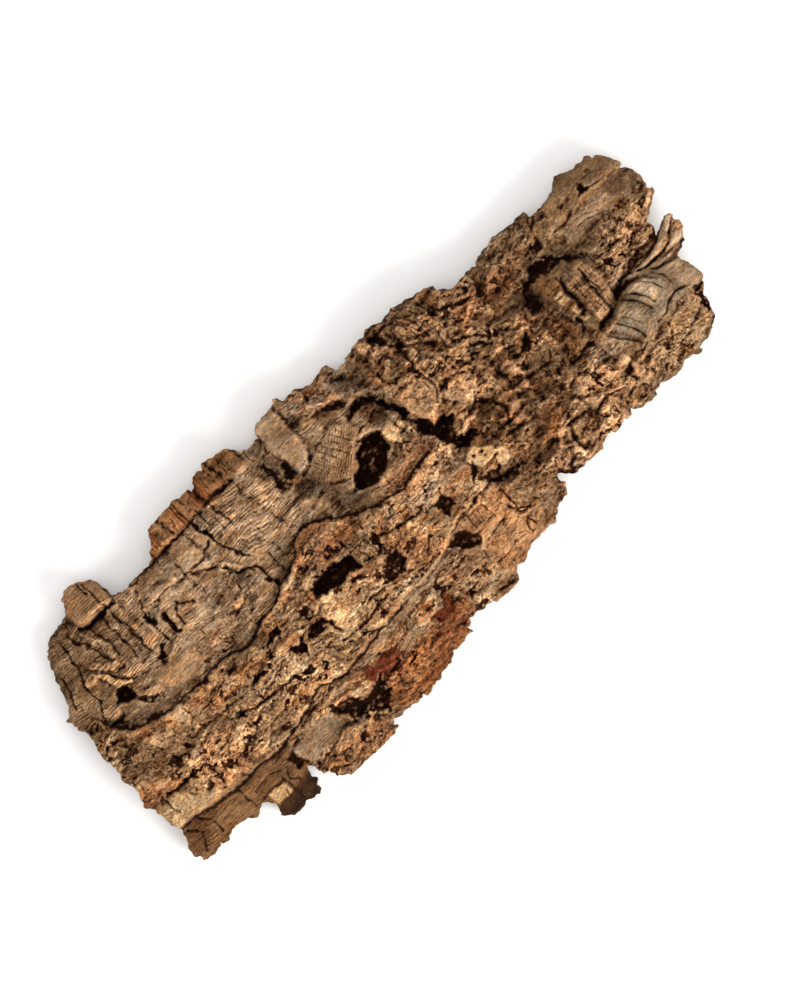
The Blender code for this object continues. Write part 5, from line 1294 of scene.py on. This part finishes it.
# %% Kept squares and the rim
centre = 0.25 * (inside[:-1, :-1] + inside[1:, :-1] + inside[:-1, 1:] + inside[1:, 1:])
kept = no_corner_touch(centre > 0.0)
middle = np.zeros_like(kept)
middle[kept.shape[0] // 2, kept.shape[1] // 2] = True
kept = no_corner_touch(spread_from(middle, kept))
count = corner_count(kept)
outer = (count > 0) & (count < 4)
slope_x, slope_y = np.gradient(inside, STEP)
steep = np.maximum(slope_x ** 2 + slope_y ** 2, 0.3)
pull = np.clip(inside, -0.6 * STEP, 0.6 * STEP) * outer / steep
PX = X - pull * slope_x
PY = Y - pull * slope_y
under = under_surface(PX, PY, inside)
height = np.maximum(height, under + LEAST_WALL)
print("squares:", int(kept.sum()), "rim points:", int(outer.sum()))


# %% Outer edges in order
def outer_edges(kept):
    """Both ends of every outer edge of the kept squares, with the bark on its left."""
    padded = np.pad(kept, 1)
    here = padded[1:-1, 1:-1]
    south = np.nonzero(here & ~padded[1:-1, :-2])
    north = np.nonzero(here & ~padded[1:-1, 2:])
    west = np.nonzero(here & ~padded[:-2, 1:-1])
    east = np.nonzero(here & ~padded[2:, 1:-1])
    starts = [(south[0], south[1]), (east[0] + 1, east[1]), (north[0] + 1, north[1] + 1),
              (west[0], west[1] + 1)]
    ends = [(south[0] + 1, south[1]), (east[0] + 1, east[1] + 1), (north[0], north[1] + 1),
            (west[0], west[1])]
    a = [np.concatenate([s[k] for s in starts]) for k in (0, 1)]
    b = [np.concatenate([e[k] for e in ends]) for k in (0, 1)]
    return a, b


# %% [markdown]
# ## The wall and the coarser underside
# The kept squares make the top. A wall of several rows goes down from its edge, pushed in
# and out along its height, because the broken edge of cork shows its layers. The hidden side
# needs fewer faces: its points lie on a wide grid, and a Delaunay triangulation, which
# picks the roundest triangles, sews them to the wall's last row.

# %% Top
used = count > 0
number = np.full(X.shape, -1)
number[used] = np.arange(used.sum())
order = np.full(X.shape, -1)
order[outer] = np.arange(outer.sum())
i, j = np.nonzero(kept)
top_faces = np.stack([number[i, j], number[i + 1, j], number[i + 1, j + 1], number[i, j + 1]], 1)
points = [np.stack([PX[used], PY[used], height[used]], 1)]
print("top squares:", len(top_faces))

# %% Wall
WALL_ROWS = 7
rx, ry = PX[outer], PY[outer]
r_top, r_under = height[outer], under[outer]
out_x, out_y = slope_x[outer], slope_y[outer]
length = np.maximum(np.hypot(out_x, out_y), 0.3)
for t in np.arange(1, WALL_ROWS + 1) / WALL_ROWS:
    z = r_top + (r_under - r_top) * t
    layer = noise(rx / 7.0 + 0.2 * z, z / 1.1 + 0.3 * noise(rx / 5.0, ry / 5.0, 71), 72)
    push = (0.55 + 0.5 * layer) * np.sin(np.pi * t) ** 0.6
    points.append(np.stack([rx + push * out_x / length, ry + push * out_y / length, z], 1))
a, b = outer_edges(kept)
base = int(used.sum())
ring = int(outer.sum())
upper = [number[a[0], a[1]], number[b[0], b[1]]]
first_row = [base + order[a[0], a[1]], base + order[b[0], b[1]]]
faces = [top_faces, np.stack([first_row[0], first_row[1], upper[1], upper[0]], 1)]
for row in range(1, WALL_ROWS):
    high = [f + (row - 1) * ring for f in first_row]
    low = [f + row * ring for f in first_row]
    faces.append(np.stack([low[0], low[1], high[1], high[0]], 1))
print("wall squares:", WALL_ROWS * len(a[0]))

# %% Underside
UNDER_STEP = 2.3
RIM_CLEAR = 1.6              # the wide grid keeps this far from the outline
ux, uy = np.meshgrid(np.arange(-149.0, 150.0, UNDER_STEP), np.arange(-62.0, 63.0, UNDER_STEP),
                     indexing="ij")
ux = ux + 0.3 * noise(ux, uy, 81)
clear = edge_distance(ux, uy, OUTLINE)
ux, uy, clear = ux[clear > RIM_CLEAR], uy[clear > RIM_CLEAR], clear[clear > RIM_CLEAR]
last = base + (WALL_ROWS - 1) * ring
flat = [Vector((p, q)) for p, q in zip(np.concatenate([rx, ux]), np.concatenate([ry, uy]))]
edges = list(zip(order[a[0], a[1]].tolist(), order[b[0], b[1]].tolist()))
_v, _e, triangles, sources, _eo, _fo = delaunay_2d_cdt(flat, edges, [], 1, 1e-6)
source = np.array([s[0] for s in sources])
triangles = source[np.array([t for t in triangles if len(t) == 3])]
points.append(np.stack([ux, uy, under_surface(ux, uy, clear)], 1))
under_faces = (triangles + last)[:, ::-1]
points = np.concatenate(points)
print("underside triangles:", len(under_faces))

# %% Into one mesh
MARGIN = 0.05                # millimetres left to the solid's box, except at the floor
points = np.clip(points, BOX_LOW + MARGIN * np.array([1, 1, 0]), BOX_HIGH - MARGIN)
all_faces = np.concatenate(faces).tolist() + under_faces.tolist()
fine_mesh = bpy.data.meshes.new("fine_cork_bark")
fine_mesh.from_pydata((points * MM).tolist(), [], all_faces)
fine_triangles = sum(len(face) - 2 for face in all_faces)
print("triangles:", fine_triangles)

# %% [markdown]
# ## Colours
# Each ground has its own few colours, named below as linear red, green and blue. They are
# mixed by masks and noise into one tint for each point of the mesh. Where the relief is low
# the tint goes through red-brown to black as painted shade, and where it stands high it is
# painted paler, partly rubbed wear and partly a painted highlight.

# %% Palette
PALETTE = {
    "tan": (0.455, 0.251, 0.115),
    "cream": (0.612, 0.374, 0.172),
    "ochre": (0.36, 0.148, 0.052),
    # The first step of painted shade in low ground
    "red_brown": (0.120, 0.034, 0.009),
    "grey_tan": (0.43, 0.270, 0.142),
    "pale_wood": (0.27, 0.185, 0.105),
    "grey_brown": (0.195, 0.110, 0.048),
    "olive": (0.20, 0.110, 0.046),
    "warm_block": (0.30, 0.130, 0.044),
    "shelf_brown": (0.185, 0.083, 0.028),
    "tab_brown": (0.064, 0.026, 0.010),
    "brick": (0.150, 0.034, 0.012),
    "rust": (0.27, 0.084, 0.020),
    "spot_brown": (0.150, 0.080, 0.040),
    "dark_brown": (0.058, 0.020, 0.006),
    # Near black, painted as shade in the deepest hollows and cracks
    "painted_crevice_shade": (0.0115, 0.0030, 0.0009),
    "underside": (0.36, 0.22, 0.11),
}


def mixed(base, colour, mask):
    """base moved towards colour by mask, point by point."""
    return base + (np.array(PALETTE[colour]) - base) * np.clip(mask, 0.0, 1.0)[..., None]


def mottle(long, wide, seed, share=0.0, sharp=1.6):
    """A mask of soft blotches of that length and width. share above 0 grows them."""
    return step(0.5 * share + sharp * fractal(TORN_X / long, TORN_Y / wide, seed, 3))


print("colours:", len(PALETTE))

# %% Patches of colour
# Patches: colour, share, softness of the edge, points
PATCHES = [
    ("grey_brown", 0.85, 4, [(-150, 15), (-132, 14), (-118, 16), (-112, 30), (-110, 55), (-150, 60)]),
    ("shelf_brown", 0.9, 1.5, [(-156, -31), (-134, -32.5), (-122, -35.5), (-95, -36.5), (-93, -50), (-156,
     -50)]),
    ("dark_brown", 0.6, 1.5, [(-147, -31), (-138, -31), (-136, -36), (-141, -44), (-148, -44)]),
    ("tab_brown", 0.95, 1.2, [(-117, -51), (-95, -49), (-95, -64), (-117, -64)]),
    ("warm_block", 0.9, 1, PEG),
    ("grey_tan", 0.4, 1, PEG),
    ("warm_block", 0.85, 1.2, [(-82, 47.8), (-54, 47.8), (-31, 49), (-30, 64), (-82, 64)]),
    ("rust", 0.7, 1.5, [(-82, 48), (-76, 48), (-76, 60), (-82, 60)]),
    ("rust", 0.6, 1.5, [(-56, 50), (-47, 49), (-48, 60), (-56, 60)]),
    ("shelf_brown", 0.7, 1.5, [(-95, 43), (-81, 43), (-81, 48), (-95, 48)]),
    ("grey_tan", 0.8, 1.5, SMOOTH_PANEL),
    ("rust", 0.75, 3, [(-52, -44), (-10, -44), (-8, -50), (-14, -58), (-54, -62), (-56, -52)]),
    ("ochre", 0.6, 2, [(-95, -52), (-62, -52), (-60, -64), (-95, -64)]),
    ("brick", 0.35, 2.5, [(-35, -49), (-14, -48), (-14, -54), (-35, -54)]),
    ("warm_block", 0.5, 1.5, [(-20, 28), (4, 35), (8, 26), (-6, 16)]),
    ("tan", 0.7, 3, [(44, 26), (54, 24), (56, 0), (44, 4)]),
    ("tan", 0.55, 3, [(56, -30), (80, -27), (82, -40), (58, -40)]),
    ("tan", 0.6, 3, [(28, 26), (60, 30), (58, 2), (40, 4), (28, 12)]),
    ("dark_brown", 0.45, 3, [(84, 24), (84, 4), (92, 4), (92, 22)]),
    ("grey_brown", 0.5, 3, [(36, 50), (44, 50), (44, 34), (36, 34)]),
    ("cream", 0.45, 4, [(-126, -18), (-100, -18), (-98, -30), (-126, -32)]),
    ("cream", 0.45, 4, [(-96, -14), (-66, -14), (-62, -28), (-94, -28)]),
    ("grey_tan", 0.6, 3, [(-56, 44), (-34, 44), (-30, 20), (-52, 20)]),
    ("cream", 0.35, 3, [(104, -26), (130, -26), (130, -40), (104, -40)]),
    ("brick", 1, 0.5, [(-57, -40), (-54, -36.5), (-52, -36.5), (-51, -39.5), (-46, -38.3), (-40, -39.3),
     (-40, -43), (-43, -46), (-45.2, -49), (-47.5, -46), (-50, -46), (-52, -43), (-55, -44)]),
    ("brick", 1, 0.5, [(-23, -42), (-20, -41), (-17, -41.5), (-15, -38.5), (-12.5, -38), (-11.5, -42), (-13,
     -45.5), (-16, -46.5), (-20, -46.5), (-22, -44.5)]),
    ("brick", 0.9, 0.5, [(-23, -36), (-20.5, -36), (-20.5, -40), (-23, -40)]),
    ("brick", 0.9, 0.5, [(-8.5, -41.5), (-6, -41.5), (-6.2, -46), (-8.2, -46)]),
    ("brick", 0.8, 0.4, [(-78, -36), (-77, -36), (-77, -38.5), (-78, -38.5)]),
    ("brick", 0.8, 0.4, [(-61, -38.5), (-59.5, -38.5), (-59.5, -41.5), (-61, -41.5)]),
    ("cream", 0.4, 1.5, [(10, -31.5), (27, -29.5), (28.5, -38), (24, -46), (10, -44)]),
    ("grey_brown", 0.85, 2, [(-143, -8), (-131, -6), (-131, 4), (-143, 5)]),
    ("grey_brown", 0.6, 2.5, [(-131, -4), (-116, -4), (-114, -13), (-131, -14)]),
    ("grey_brown", 0.6, 1.5, [(-109, -11), (-99, -11), (-100, -17), (-108, -17)]),
    ("ochre", 0.8, 2, [(-148, -18), (-140, -17), (-140, -11), (-148, -10)]),
    ("ochre", 0.6, 2.5, [(-126, -22), (-108, -22), (-104, -33), (-124, -33)]),
    ("ochre", 0.5, 2.5, [(-108, 1), (-92, 1), (-92, -9), (-106, -9)]),
    ("cream", 0.9, 1.2, CREAM_CORNER),
    ("cream", 0.85, 1, CREAM_SPOT),
    ("grey_brown", 0.6, 2, [(-96, -24), (-88, -20), (-84, -28), (-92, -34), (-99, -32)]),
    ("grey_tan", 0.9, 0.8, [(-70, -29.5), (-56, -33.6), (-45, -32), (-28, -30.5), (0, -27.5), (7, -24.5), (6,
     -28), (-12, -33), (-30, -34), (-50, -37), (-66, -35)]),
    ("cream", 0.8, 1.5, [(-64, -20), (-50, -19), (-42, -24), (-44, -30), (-60, -30)]),
    ("ochre", 0.6, 2, [(-44, 14), (-30, 15), (-16, 5), (-16, -1), (-34, 1), (-46, 4)]),
    ("tan", 0.7, 0.8, TILTED_PLATE),
    ("shelf_brown", 0.7, 2, [(-2, 37), (11, 37), (13, 44), (-2, 44)]),
    ("rust", 0.45, 2, [(-2, 48), (10, 48), (16, 50), (14, 56), (-4, 56)]),
    ("ochre", 0.6, 4, [(-4, 7), (10, 8), (18, 12), (24, 8), (24, 0), (4, -2)]),
    ("olive", 0.7, 2, [(-15, 1), (-4, 2), (-2, 9), (-12, 11), (-18, 8)]),
    ("ochre", 0.6, 2, [(-13, -12), (3, -13), (4, -26), (-12, -27)]),
    ("grey_brown", 0.6, 1.5, [(2, -11), (8, -12), (7, -25), (2, -25)]),
    ("grey_tan", 0.7, 1.5, [(3, -5), (28, -5), (28, -10), (3, -10)]),
    ("cream", 0.6, 1.5, [(-3, -15), (3, -15), (3, -22), (-3, -22)]),
    ("cream", 0.45, 1, [(-51, -6), (-43, -9), (-36, -13), (-38, -22), (-50, -24), (-52, -17)]),
    ("tan", 0.7, 1, [(6, -21), (28, -21), (28, -33), (14, -34)]),
    ("ochre", 0.55, 3, [(10, -25), (34, -25), (36, -48), (10, -52)]),
    ("olive", 0.6, 2, [(30, -25), (44, -25), (46, -42), (32, -42)]),
    ("grey_brown", 0.8, 2, [(58, -8), (62, -8), (60, -17), (50, -27), (43, -28), (50, -20)]),
    ("tan", 0.6, 2, [(54, -4), (60, -4), (58, -14), (54, -12)]),
    ("tan", 0.7, 3, [(75, -36), (98, -38), (96, -20), (76, -20)]),
    ("ochre", 0.6, 3, [(66, 32), (88, 34), (98, 36), (94, 26), (76, 24), (66, 22)]),
    ("grey_brown", 0.6, 2.5, [(70, 0), (90, 2), (90, -8), (72, -10)]),
    ("pale_wood", 0.9, 1.8, [(98, -20), (104, -10), (116, -6), (132, -8), (142, -12), (142, -22), (120,
     -24)]),
    ("grey_tan", 0.9, 2, [(86, -12), (99, -13), (99, -20), (86, -20)]),
    ("grey_tan", 0.9, 1.5, SPLIT_BAND),
    ("olive", 0.85, 2.5, [(104, 29), (150, 30), (150, 46), (104, 46)]),
    ("tan", 0.5, 2.5, [(110, 30), (128, 32), (128, 38), (112, 37)]),
    ("spot_brown", 0.95, 0.7, [(136, 28), (142, 29), (145, 26), (143.5, 21), (139, 20.5), (136.5, 23.5)]),
    ("grey_tan", 0.8, 1, [(-9, 42.5), (-1.5, 42.5), (-1, 36), (-8, 35.5)]),
    ("tan", 0.8, 2, [(126, 6), (140, 6), (142, 17), (126, 18)]),
    ("ochre", 0.7, 1.2, [(133, 17), (138, 17), (138, 20), (133, 20)]),
    ("tan", 0.7, 1.5, [(110, 0), (122, 0), (122, 6), (112, 8)]),
    ("grey_tan", 0.8, 1.5, [(104, -2), (112, -4), (122, 0), (112, 1)]),
]

# Places a little lighter or darker than their kind: factor, softness of the edge, points
SHADES = [
    (0.74, 3, [(90, 20), (112, 16), (112, -8), (93, -10)]),
    (0.82, 1, PEG),
    (1.2, 4, [(-56, 44), (-34, 44), (-30, 22), (-40, 18), (-52, 22)]),
    (0.7, 1.5, [(-53, 48), (-31, 48), (-30, 64), (-53, 64)]),
    (0.66, 1.5, [(-95, -38), (-74, -38), (-72, -48), (-93, -50)]),
    (0.6, 1, TILTED_PLATE),
    (1.25, 4, [(-8, 8), (22, 8), (22, -2), (-8, -2)]),
    (0.75, 3, [(-42, 13), (-24, 12), (-20, 4), (-40, 3)]),
    (1.3, 4, [(42, 24), (56, 24), (54, 0), (44, 2)]),
    (1.4, 5, [(-126, -16), (-100, -18), (-98, -32), (-124, -32)]),
    (1.3, 5, [(-94, -16), (-68, -16), (-64, -28), (-92, -30)]),
    (1.6, 3, [(60, -26), (80, -26), (80, -38), (60, -38)]),
    (0.7, 4, [(56, -6), (76, -6), (76, -20), (56, -22)]),
    (0.75, 3, [(86, -12), (99, -13), (99, -21), (86, -21)]),
    (0.34, 0.8, DARK_SLOT),
    (0.82, 3, [(108, 30), (148, 30), (148, 42), (108, 42)]),
    (1.3, 4, [(122, 5), (142, 5), (144, 17), (122, 17)]),
    (1.6, 2, [(120, 0), (147, 5), (149, -6), (138, -10), (122, -6)]),
    (1.15, 4, [(102, -26), (132, -26), (132, -40), (102, -40)]),
    (0.85, 2, [(-60, -29), (-10, -29), (-10, -34), (-60, -35)]),
    (0.8, 1.5, CREAM_CORNER),
    (0.7, 1.5, [(-117, -51), (-95, -50), (-95, -64), (-117, -64)]),
]
print("patches:", len(PATCHES), "shades:", len(SHADES))

# %% Tint of each ground
tint = np.broadcast_to(np.array(PALETTE["grey_tan"]), X.shape + (3,)).copy()
tint = mixed(tint, "grey_brown", 0.85 * mottle(16.0, 4.5, 91, 0.1))
tint = mixed(tint, "tan", 0.7 * mottle(11.0, 4.0, 90, -0.3))
tint = mixed(tint, "tan", crust)
tint = mixed(tint, "cream", 0.9 * crust * mottle(12.0, 6.0, 92, 0.5, 3.2))
tint = mixed(tint, "ochre", 0.8 * crust * mottle(9.0, 5.0, 93, -0.1, 3.2))
tint = mixed(tint, "grey_brown", 0.55 * crust * ribbed_crust)
tint = mixed(tint, "olive", 1.2 * mound)
pale_chunk = step(0.5 + 3.0 * (large_number - 0.55) + 1.5 * (small_number - 0.5))
tint = mixed(tint, "tan", 0.95 * mound * pale_chunk)
tint = mixed(tint, "ochre", 0.6 * mound * mottle(7.0, 5.0, 89, -0.3, 2.6))
tint = mixed(tint, "grey_brown", 0.7 * narrow)
tint = mixed(tint, "tan", 0.8 * narrow * mottle(10.0, 5.0, 99, 0.1))
print("mean tint of the grounds:", np.round(tint[inside > 0].mean(axis=0), 3))

# %% Tint of places, ribs and relief
PAINTED_LIGHT_POWER = 1.7            # power of the dapple in the colour
for colour, share, soft, outline in PATCHES:
    tint = mixed(tint, colour, share * blot(outline, soft))
for outline, _rise, edge, _lip, colour in FLAKES:
    tint = mixed(tint, colour, 0.9 * blot(outline, 0.6 * edge))
tint *= (1.0 + 0.3 * blot(BARREL, 2.0) * noise(arcs / 3.4, Y / 16.0, 101))[..., None]
rib_whole = rib_number.astype(np.int64)
rib_shade = lattice(rib_whole, 0 * rib_whole, 7) / (2.0 * np.pi)
tint *= (1.0 + 0.45 * rib_show * (rib_shade - 0.5))[..., None]
tint = mixed(tint, "rust", 0.8 * blot(EDGE_BLOCKS, 1.0) * (rib_shade > 0.6))
chunk_shade = 0.86 + 0.30 * large_number + 0.36 * (small_number - 0.5) + 0.3 * (tiny_number - 0.5)
tint *= chunk_shade[..., None]
# Paler where the ground stands high: partly rubbed wear, partly a painted highlight
tint *= (0.80 + 0.62 * crest)[..., None]
# Painted shade: low ground goes red-brown, then dark brown, then near black, the lower it lies
tint = mixed(tint, "red_brown", 0.85 * ragged * step((cavity_shade - 0.15) / 0.35))
tint = mixed(tint, "dark_brown", 0.85 * step((cavity_shade - 0.25) / 0.35))
tint = mixed(tint, "painted_crevice_shade", step((cavity_shade - 0.5) / 0.35))
# Painted light and shade of the lighter and darker places
tint *= light_and_shade[..., None] ** PAINTED_LIGHT_POWER
for factor, soft, outline in SHADES:
    tint *= (1.0 + (factor - 1.0) * blot(outline, soft))[..., None]
print("mean tint:", np.round(tint[inside > 0].mean(axis=0), 3))


# %% Numbers onto the mesh
def spread(values, below):
    """values for every mesh point: the grid's own on top, the rim's down the wall, and one
    value for the underside."""
    hidden = np.broadcast_to(np.array(below, dtype=float), (len(ux),) + values[outer].shape[1:])
    return np.concatenate([values[used]] + [values[outer]] * WALL_ROWS + [hidden])


def put_float(name, values):
    """A number for each point, under that name."""
    fine_mesh.attributes.new(name, "FLOAT", "POINT").data.foreach_set("value", values.astype(np.float32))


on_wall = slice(base, base + WALL_ROWS * ring)
wall = points[on_wall]
place = spread(rib_place, 0.0)
place[on_wall] = wall[:, 2]
place[on_wall.stop:] = uy + 1.2 * noise(ux / 15.0, uy / 8.0, 96)
put_float("cavity_shade", spread(cavity_shade, 0.1))
put_float("crumble", spread(ragged * (0.35 + 0.65 * calm), 0.1))
put_float("rib_show", spread(rib_show, 0.4))
put_float("rib_place", place)
print("points with numbers:", len(place))

# %% Colours of the wall and the underside
colours = np.ones((len(points), 4), dtype=np.float32)
colours[:, :3] = spread(tint, PALETTE["underside"])
band = step(0.5 + 1.3 * noise((wall[:, 0] + wall[:, 1]) / 22.0, wall[:, 2] / 1.4, 73))
wall_tint = mixed(np.broadcast_to(np.array(PALETTE["warm_block"]), (len(wall), 3)), "tan", 0.7 * band)
darker = step(0.4 + 1.4 * noise((wall[:, 0] - wall[:, 1]) / 13.0, wall[:, 2] / 2.6, 74))
wall_tint = mixed(wall_tint, "shelf_brown", 0.8 * darker)
rim_share = np.repeat(np.clip(1.0 - np.arange(WALL_ROWS) / 2.0, 0.0, 1.0), ring)[:, None] * 0.6
colours[on_wall, :3] += (1.0 - rim_share) * (wall_tint - colours[on_wall, :3])
fine_mesh.attributes.new("tint", "FLOAT_COLOR", "POINT").data.foreach_set("color", colours.ravel())
print("attributes:", [layer.name for layer in fine_mesh.attributes if not layer.name.startswith(".")])

# %% [markdown]
# ## Fewer triangles where the bark is even
# One mesh may hold 200,000 triangles. Decimate merges edges where that changes the shape
# least, so the smooth plates give up their points and the crumbled crust keeps them.

# %% Thinned
MOST_TRIANGLES = 196000
rough = bpy.data.objects.new("fine_cork_bark", fine_mesh)
scene.collection.objects.link(rough)
triangulate = rough.modifiers.new("Triangulate", "TRIANGULATE")
triangulate.min_vertices = 4
decimate = rough.modifiers.new("Decimate", "DECIMATE")
decimate.ratio = MOST_TRIANGLES / fine_triangles
shown = rough.evaluated_get(bpy.context.evaluated_depsgraph_get())
slab_mesh = bpy.data.meshes.new_from_object(shown)
slab_mesh.name = "cork_bark"
bpy.data.objects.remove(rough)
print("thinned triangles:", len(slab_mesh.polygons))

# %% Back inside the solid's box
# Merging edges can push a point past the floor or the top by a hundredth of a millimetre
corners = np.empty(3 * len(slab_mesh.vertices))
slab_mesh.vertices.foreach_get("co", corners)
corners = corners.reshape(-1, 3)
corners[:, 2] = np.clip(corners[:, 2], CAD_BOX[0][2], CAD_BOX[1][2])
slab_mesh.vertices.foreach_set("co", corners.ravel())
slab_mesh.shade_smooth()
slab = bpy.data.objects.new("cork_bark", slab_mesh)
scene.collection.objects.link(slab)
print("triangles:", len(slab_mesh.polygons), "attributes:", len(slab_mesh.attributes))

# %% [markdown]
# ## The bark's material
# The shader starts from the tint and adds what is finer than the mesh: fibres, dark specks
# and crumbs, each as both colour and bump, so that light and paint agree.

# %% Node helpers
bark = bpy.data.materials.new("weathered_cork")
bark.use_nodes = True
tree = bark.node_tree
shader = tree.nodes["Principled BSDF"]


def join(source, node, socket):
    """Links an output, or sets a plain value, on a node's input."""
    if isinstance(source, (int, float, tuple)):
        node.inputs[socket].default_value = source
    else:
        tree.links.new(source, node.inputs[socket])


def attribute(name, output="Fac"):
    """Reads a number or colour that was put on the mesh."""
    node = tree.nodes.new("ShaderNodeAttribute")
    node.attribute_name = name
    return node.outputs[output]


def maths(operation, first, second=0.0, third=0.0):
    """One sum of two or three numbers."""
    node = tree.nodes.new("ShaderNodeMath")
    node.operation = operation
    for socket, value in enumerate((first, second, third)):
        join(value, node, socket)
    return node.outputs[0]


def blend(kind, share, first, second):
    """Two colours mixed in the given way."""
    node = tree.nodes.new("ShaderNodeMix")
    node.data_type = "RGBA"
    node.blend_type = kind
    join(share, node, 0)
    join(first, node, 6)
    join(second, node, 7)
    return node.outputs[2]


def between(value, low, high, to_low=0.0, to_high=1.0):
    """value carried from low..high to to_low..to_high, and held there."""
    node = tree.nodes.new("ShaderNodeMapRange")
    for socket, number in enumerate((value, low, high, to_low, to_high)):
        join(number, node, socket)
    return node.outputs[0]


def stretched(scales):
    """The slab's own coordinates, times scales in waves per metre along X, Y and Z."""
    stretch = tree.nodes.new("ShaderNodeMapping")
    join(tree.nodes.new("ShaderNodeTexCoord").outputs["Object"], stretch, "Vector")
    stretch.inputs["Scale"].default_value = scales
    return stretch.outputs[0]


def grain(scales, detail, roughness=0.6):
    """Noise with that many waves per metre."""
    node = tree.nodes.new("ShaderNodeTexNoise")
    join(stretched(scales), node, "Vector")
    node.inputs["Scale"].default_value = 1.0
    node.inputs["Detail"].default_value = detail
    node.inputs["Roughness"].default_value = roughness
    return node.outputs["Fac"]


def two_tone(value, low, high):
    """A colour between low and high for a value of 0.3 to 0.7."""
    return blend("MIX", between(value, 0.3, 0.7), (*low, 1.0), (*high, 1.0))


# %% Fine detail as numbers
fibre = grain((300.0, 1700.0, 1700.0), 4.0)
crumb = grain((1000.0, 1400.0, 1400.0), 5.0, 0.7)
cluster = between(grain((110.0, 170.0, 170.0), 2.0), 0.40, 0.58)
speck = maths("MULTIPLY", between(grain((480.0, 760.0, 760.0), 5.0, 0.7), 0.535, 0.565), cluster)
vein_wave = maths("ABSOLUTE", maths("SUBTRACT", grain((260.0, 480.0, 480.0), 3.0), 0.5))
vein = between(vein_wave, 0.006, 0.022, 1.0, 0.0)
stain = grain((70.0, 130.0, 130.0), 4.0)
hue = grain((190.0, 290.0, 290.0), 3.0)
crumble = attribute("crumble")
rib_show = attribute("rib_show")

# %% Ribs drawn sharper than the mesh can hold them
# Each groove between two ribs is painted dark as shade, and each rib a little lighter between them
wobble = maths("MULTIPLY_ADD", grain((400.0, 900.0, 900.0), 3.0), 0.9, -0.45)
rib_turns = maths("ADD", maths("DIVIDE", attribute("rib_place"), RIB_SPACING), wobble)
rib_row = maths("FLOOR", rib_turns)
from_line = maths("ABSOLUTE", maths("SUBTRACT", maths("SUBTRACT", rib_turns, rib_row), 0.5))
rib_length = tree.nodes.new("ShaderNodeCombineXYZ")
spot = tree.nodes.new("ShaderNodeSeparateXYZ")
join(stretched((170.0, 60.0, 60.0)), spot, 0)
join(spot.outputs[0], rib_length, 0)
join(maths("MULTIPLY_ADD", rib_row, 3.71, spot.outputs[1]), rib_length, 1)
rib_break = tree.nodes.new("ShaderNodeTexNoise")
join(rib_length.outputs[0], rib_break, "Vector")
rib_break.inputs["Scale"].default_value = 1.0
rib_break.inputs["Detail"].default_value = 2.0
rib_dark = between(maths("MULTIPLY_ADD", rib_show, 0.2, rib_break.outputs["Fac"]), 0.62, 0.74)
rough_line = maths("MULTIPLY_ADD", maths("SUBTRACT", crumb, 0.5), 0.45, from_line)
line = maths("MULTIPLY", between(rough_line, 0.04, 0.17, 1.0, 0.0), rib_dark)
line = maths("MULTIPLY", line, between(rib_show, 0.0, 0.6))

# %% Colour
colour = attribute("tint", "Color")
crumb_share = between(crumble, 0.0, 1.0, 0.6, 1.0)
colour = blend("MULTIPLY", crumb_share, colour, two_tone(crumb, (0.24, 0.145, 0.09), (1.90, 2.07, 2.27)))
fibre_share = maths("MULTIPLY_ADD", rib_show, 0.4, 0.45)
colour = blend("MULTIPLY", fibre_share, colour, two_tone(fibre, (0.54, 0.42, 0.34), (1.52, 1.59, 1.70)))
colour = blend("MULTIPLY", 1.0, colour, two_tone(stain, (0.82, 0.74, 0.66), (1.2, 1.26, 1.32)))
colour = blend("MULTIPLY", 1.0, colour, two_tone(hue, (1.10, 0.97, 0.80), (0.92, 1.03, 1.20)))
# Painted shade at each rib's groove, and painted light a little brighter between grooves
colour = blend("MULTIPLY", rib_show, colour, between(from_line, 0.1, 0.5, 0.92, 1.1))
dark_speck = maths("MULTIPLY", speck, between(crumble, 0.0, 1.0, 0.25, 0.9))
colour = blend("MIX", dark_speck, colour, (0.085, 0.020, 0.006, 1.0))
dark_vein = maths("MULTIPLY", vein, between(crumble, 0.0, 1.0, 0.1, 0.65))
colour = blend("MIX", dark_vein, colour, (0.052, 0.015, 0.005, 1.0))
# Dark line of painted shade in each groove
colour = blend("MIX", maths("MULTIPLY", line, 0.78), colour, (0.052, 0.022, 0.008, 1.0))
join(colour, shader, "Base Color")
print("nodes so far:", len(tree.nodes))

# %% Bump and gloss
tall = maths("MULTIPLY_ADD", fibre, 0.5, maths("MULTIPLY", maths("MULTIPLY", crumb, crumb_share), 0.8))
tall = maths("MULTIPLY_ADD", dark_speck, -0.6, maths("MULTIPLY_ADD", dark_vein, -0.6, tall))
tall = maths("MULTIPLY_ADD", line, -0.6, tall)
bump = tree.nodes.new("ShaderNodeBump")
bump.inputs["Strength"].default_value = 1.0
bump.inputs["Distance"].default_value = 0.6 * MM
join(tall, bump, "Height")
join(bump.outputs["Normal"], shader, "Normal")
join(between(attribute("cavity_shade"), 0.0, 1.0, 0.78, 0.95), shader, "Roughness")
shader.inputs["Specular IOR Level"].default_value = 0.08
slab_mesh.materials.append(bark)
print("material nodes:", len(tree.nodes))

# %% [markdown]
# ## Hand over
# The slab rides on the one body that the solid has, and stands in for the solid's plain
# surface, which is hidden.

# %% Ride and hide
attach(slab, "root")
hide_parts("cork_bark_slab")
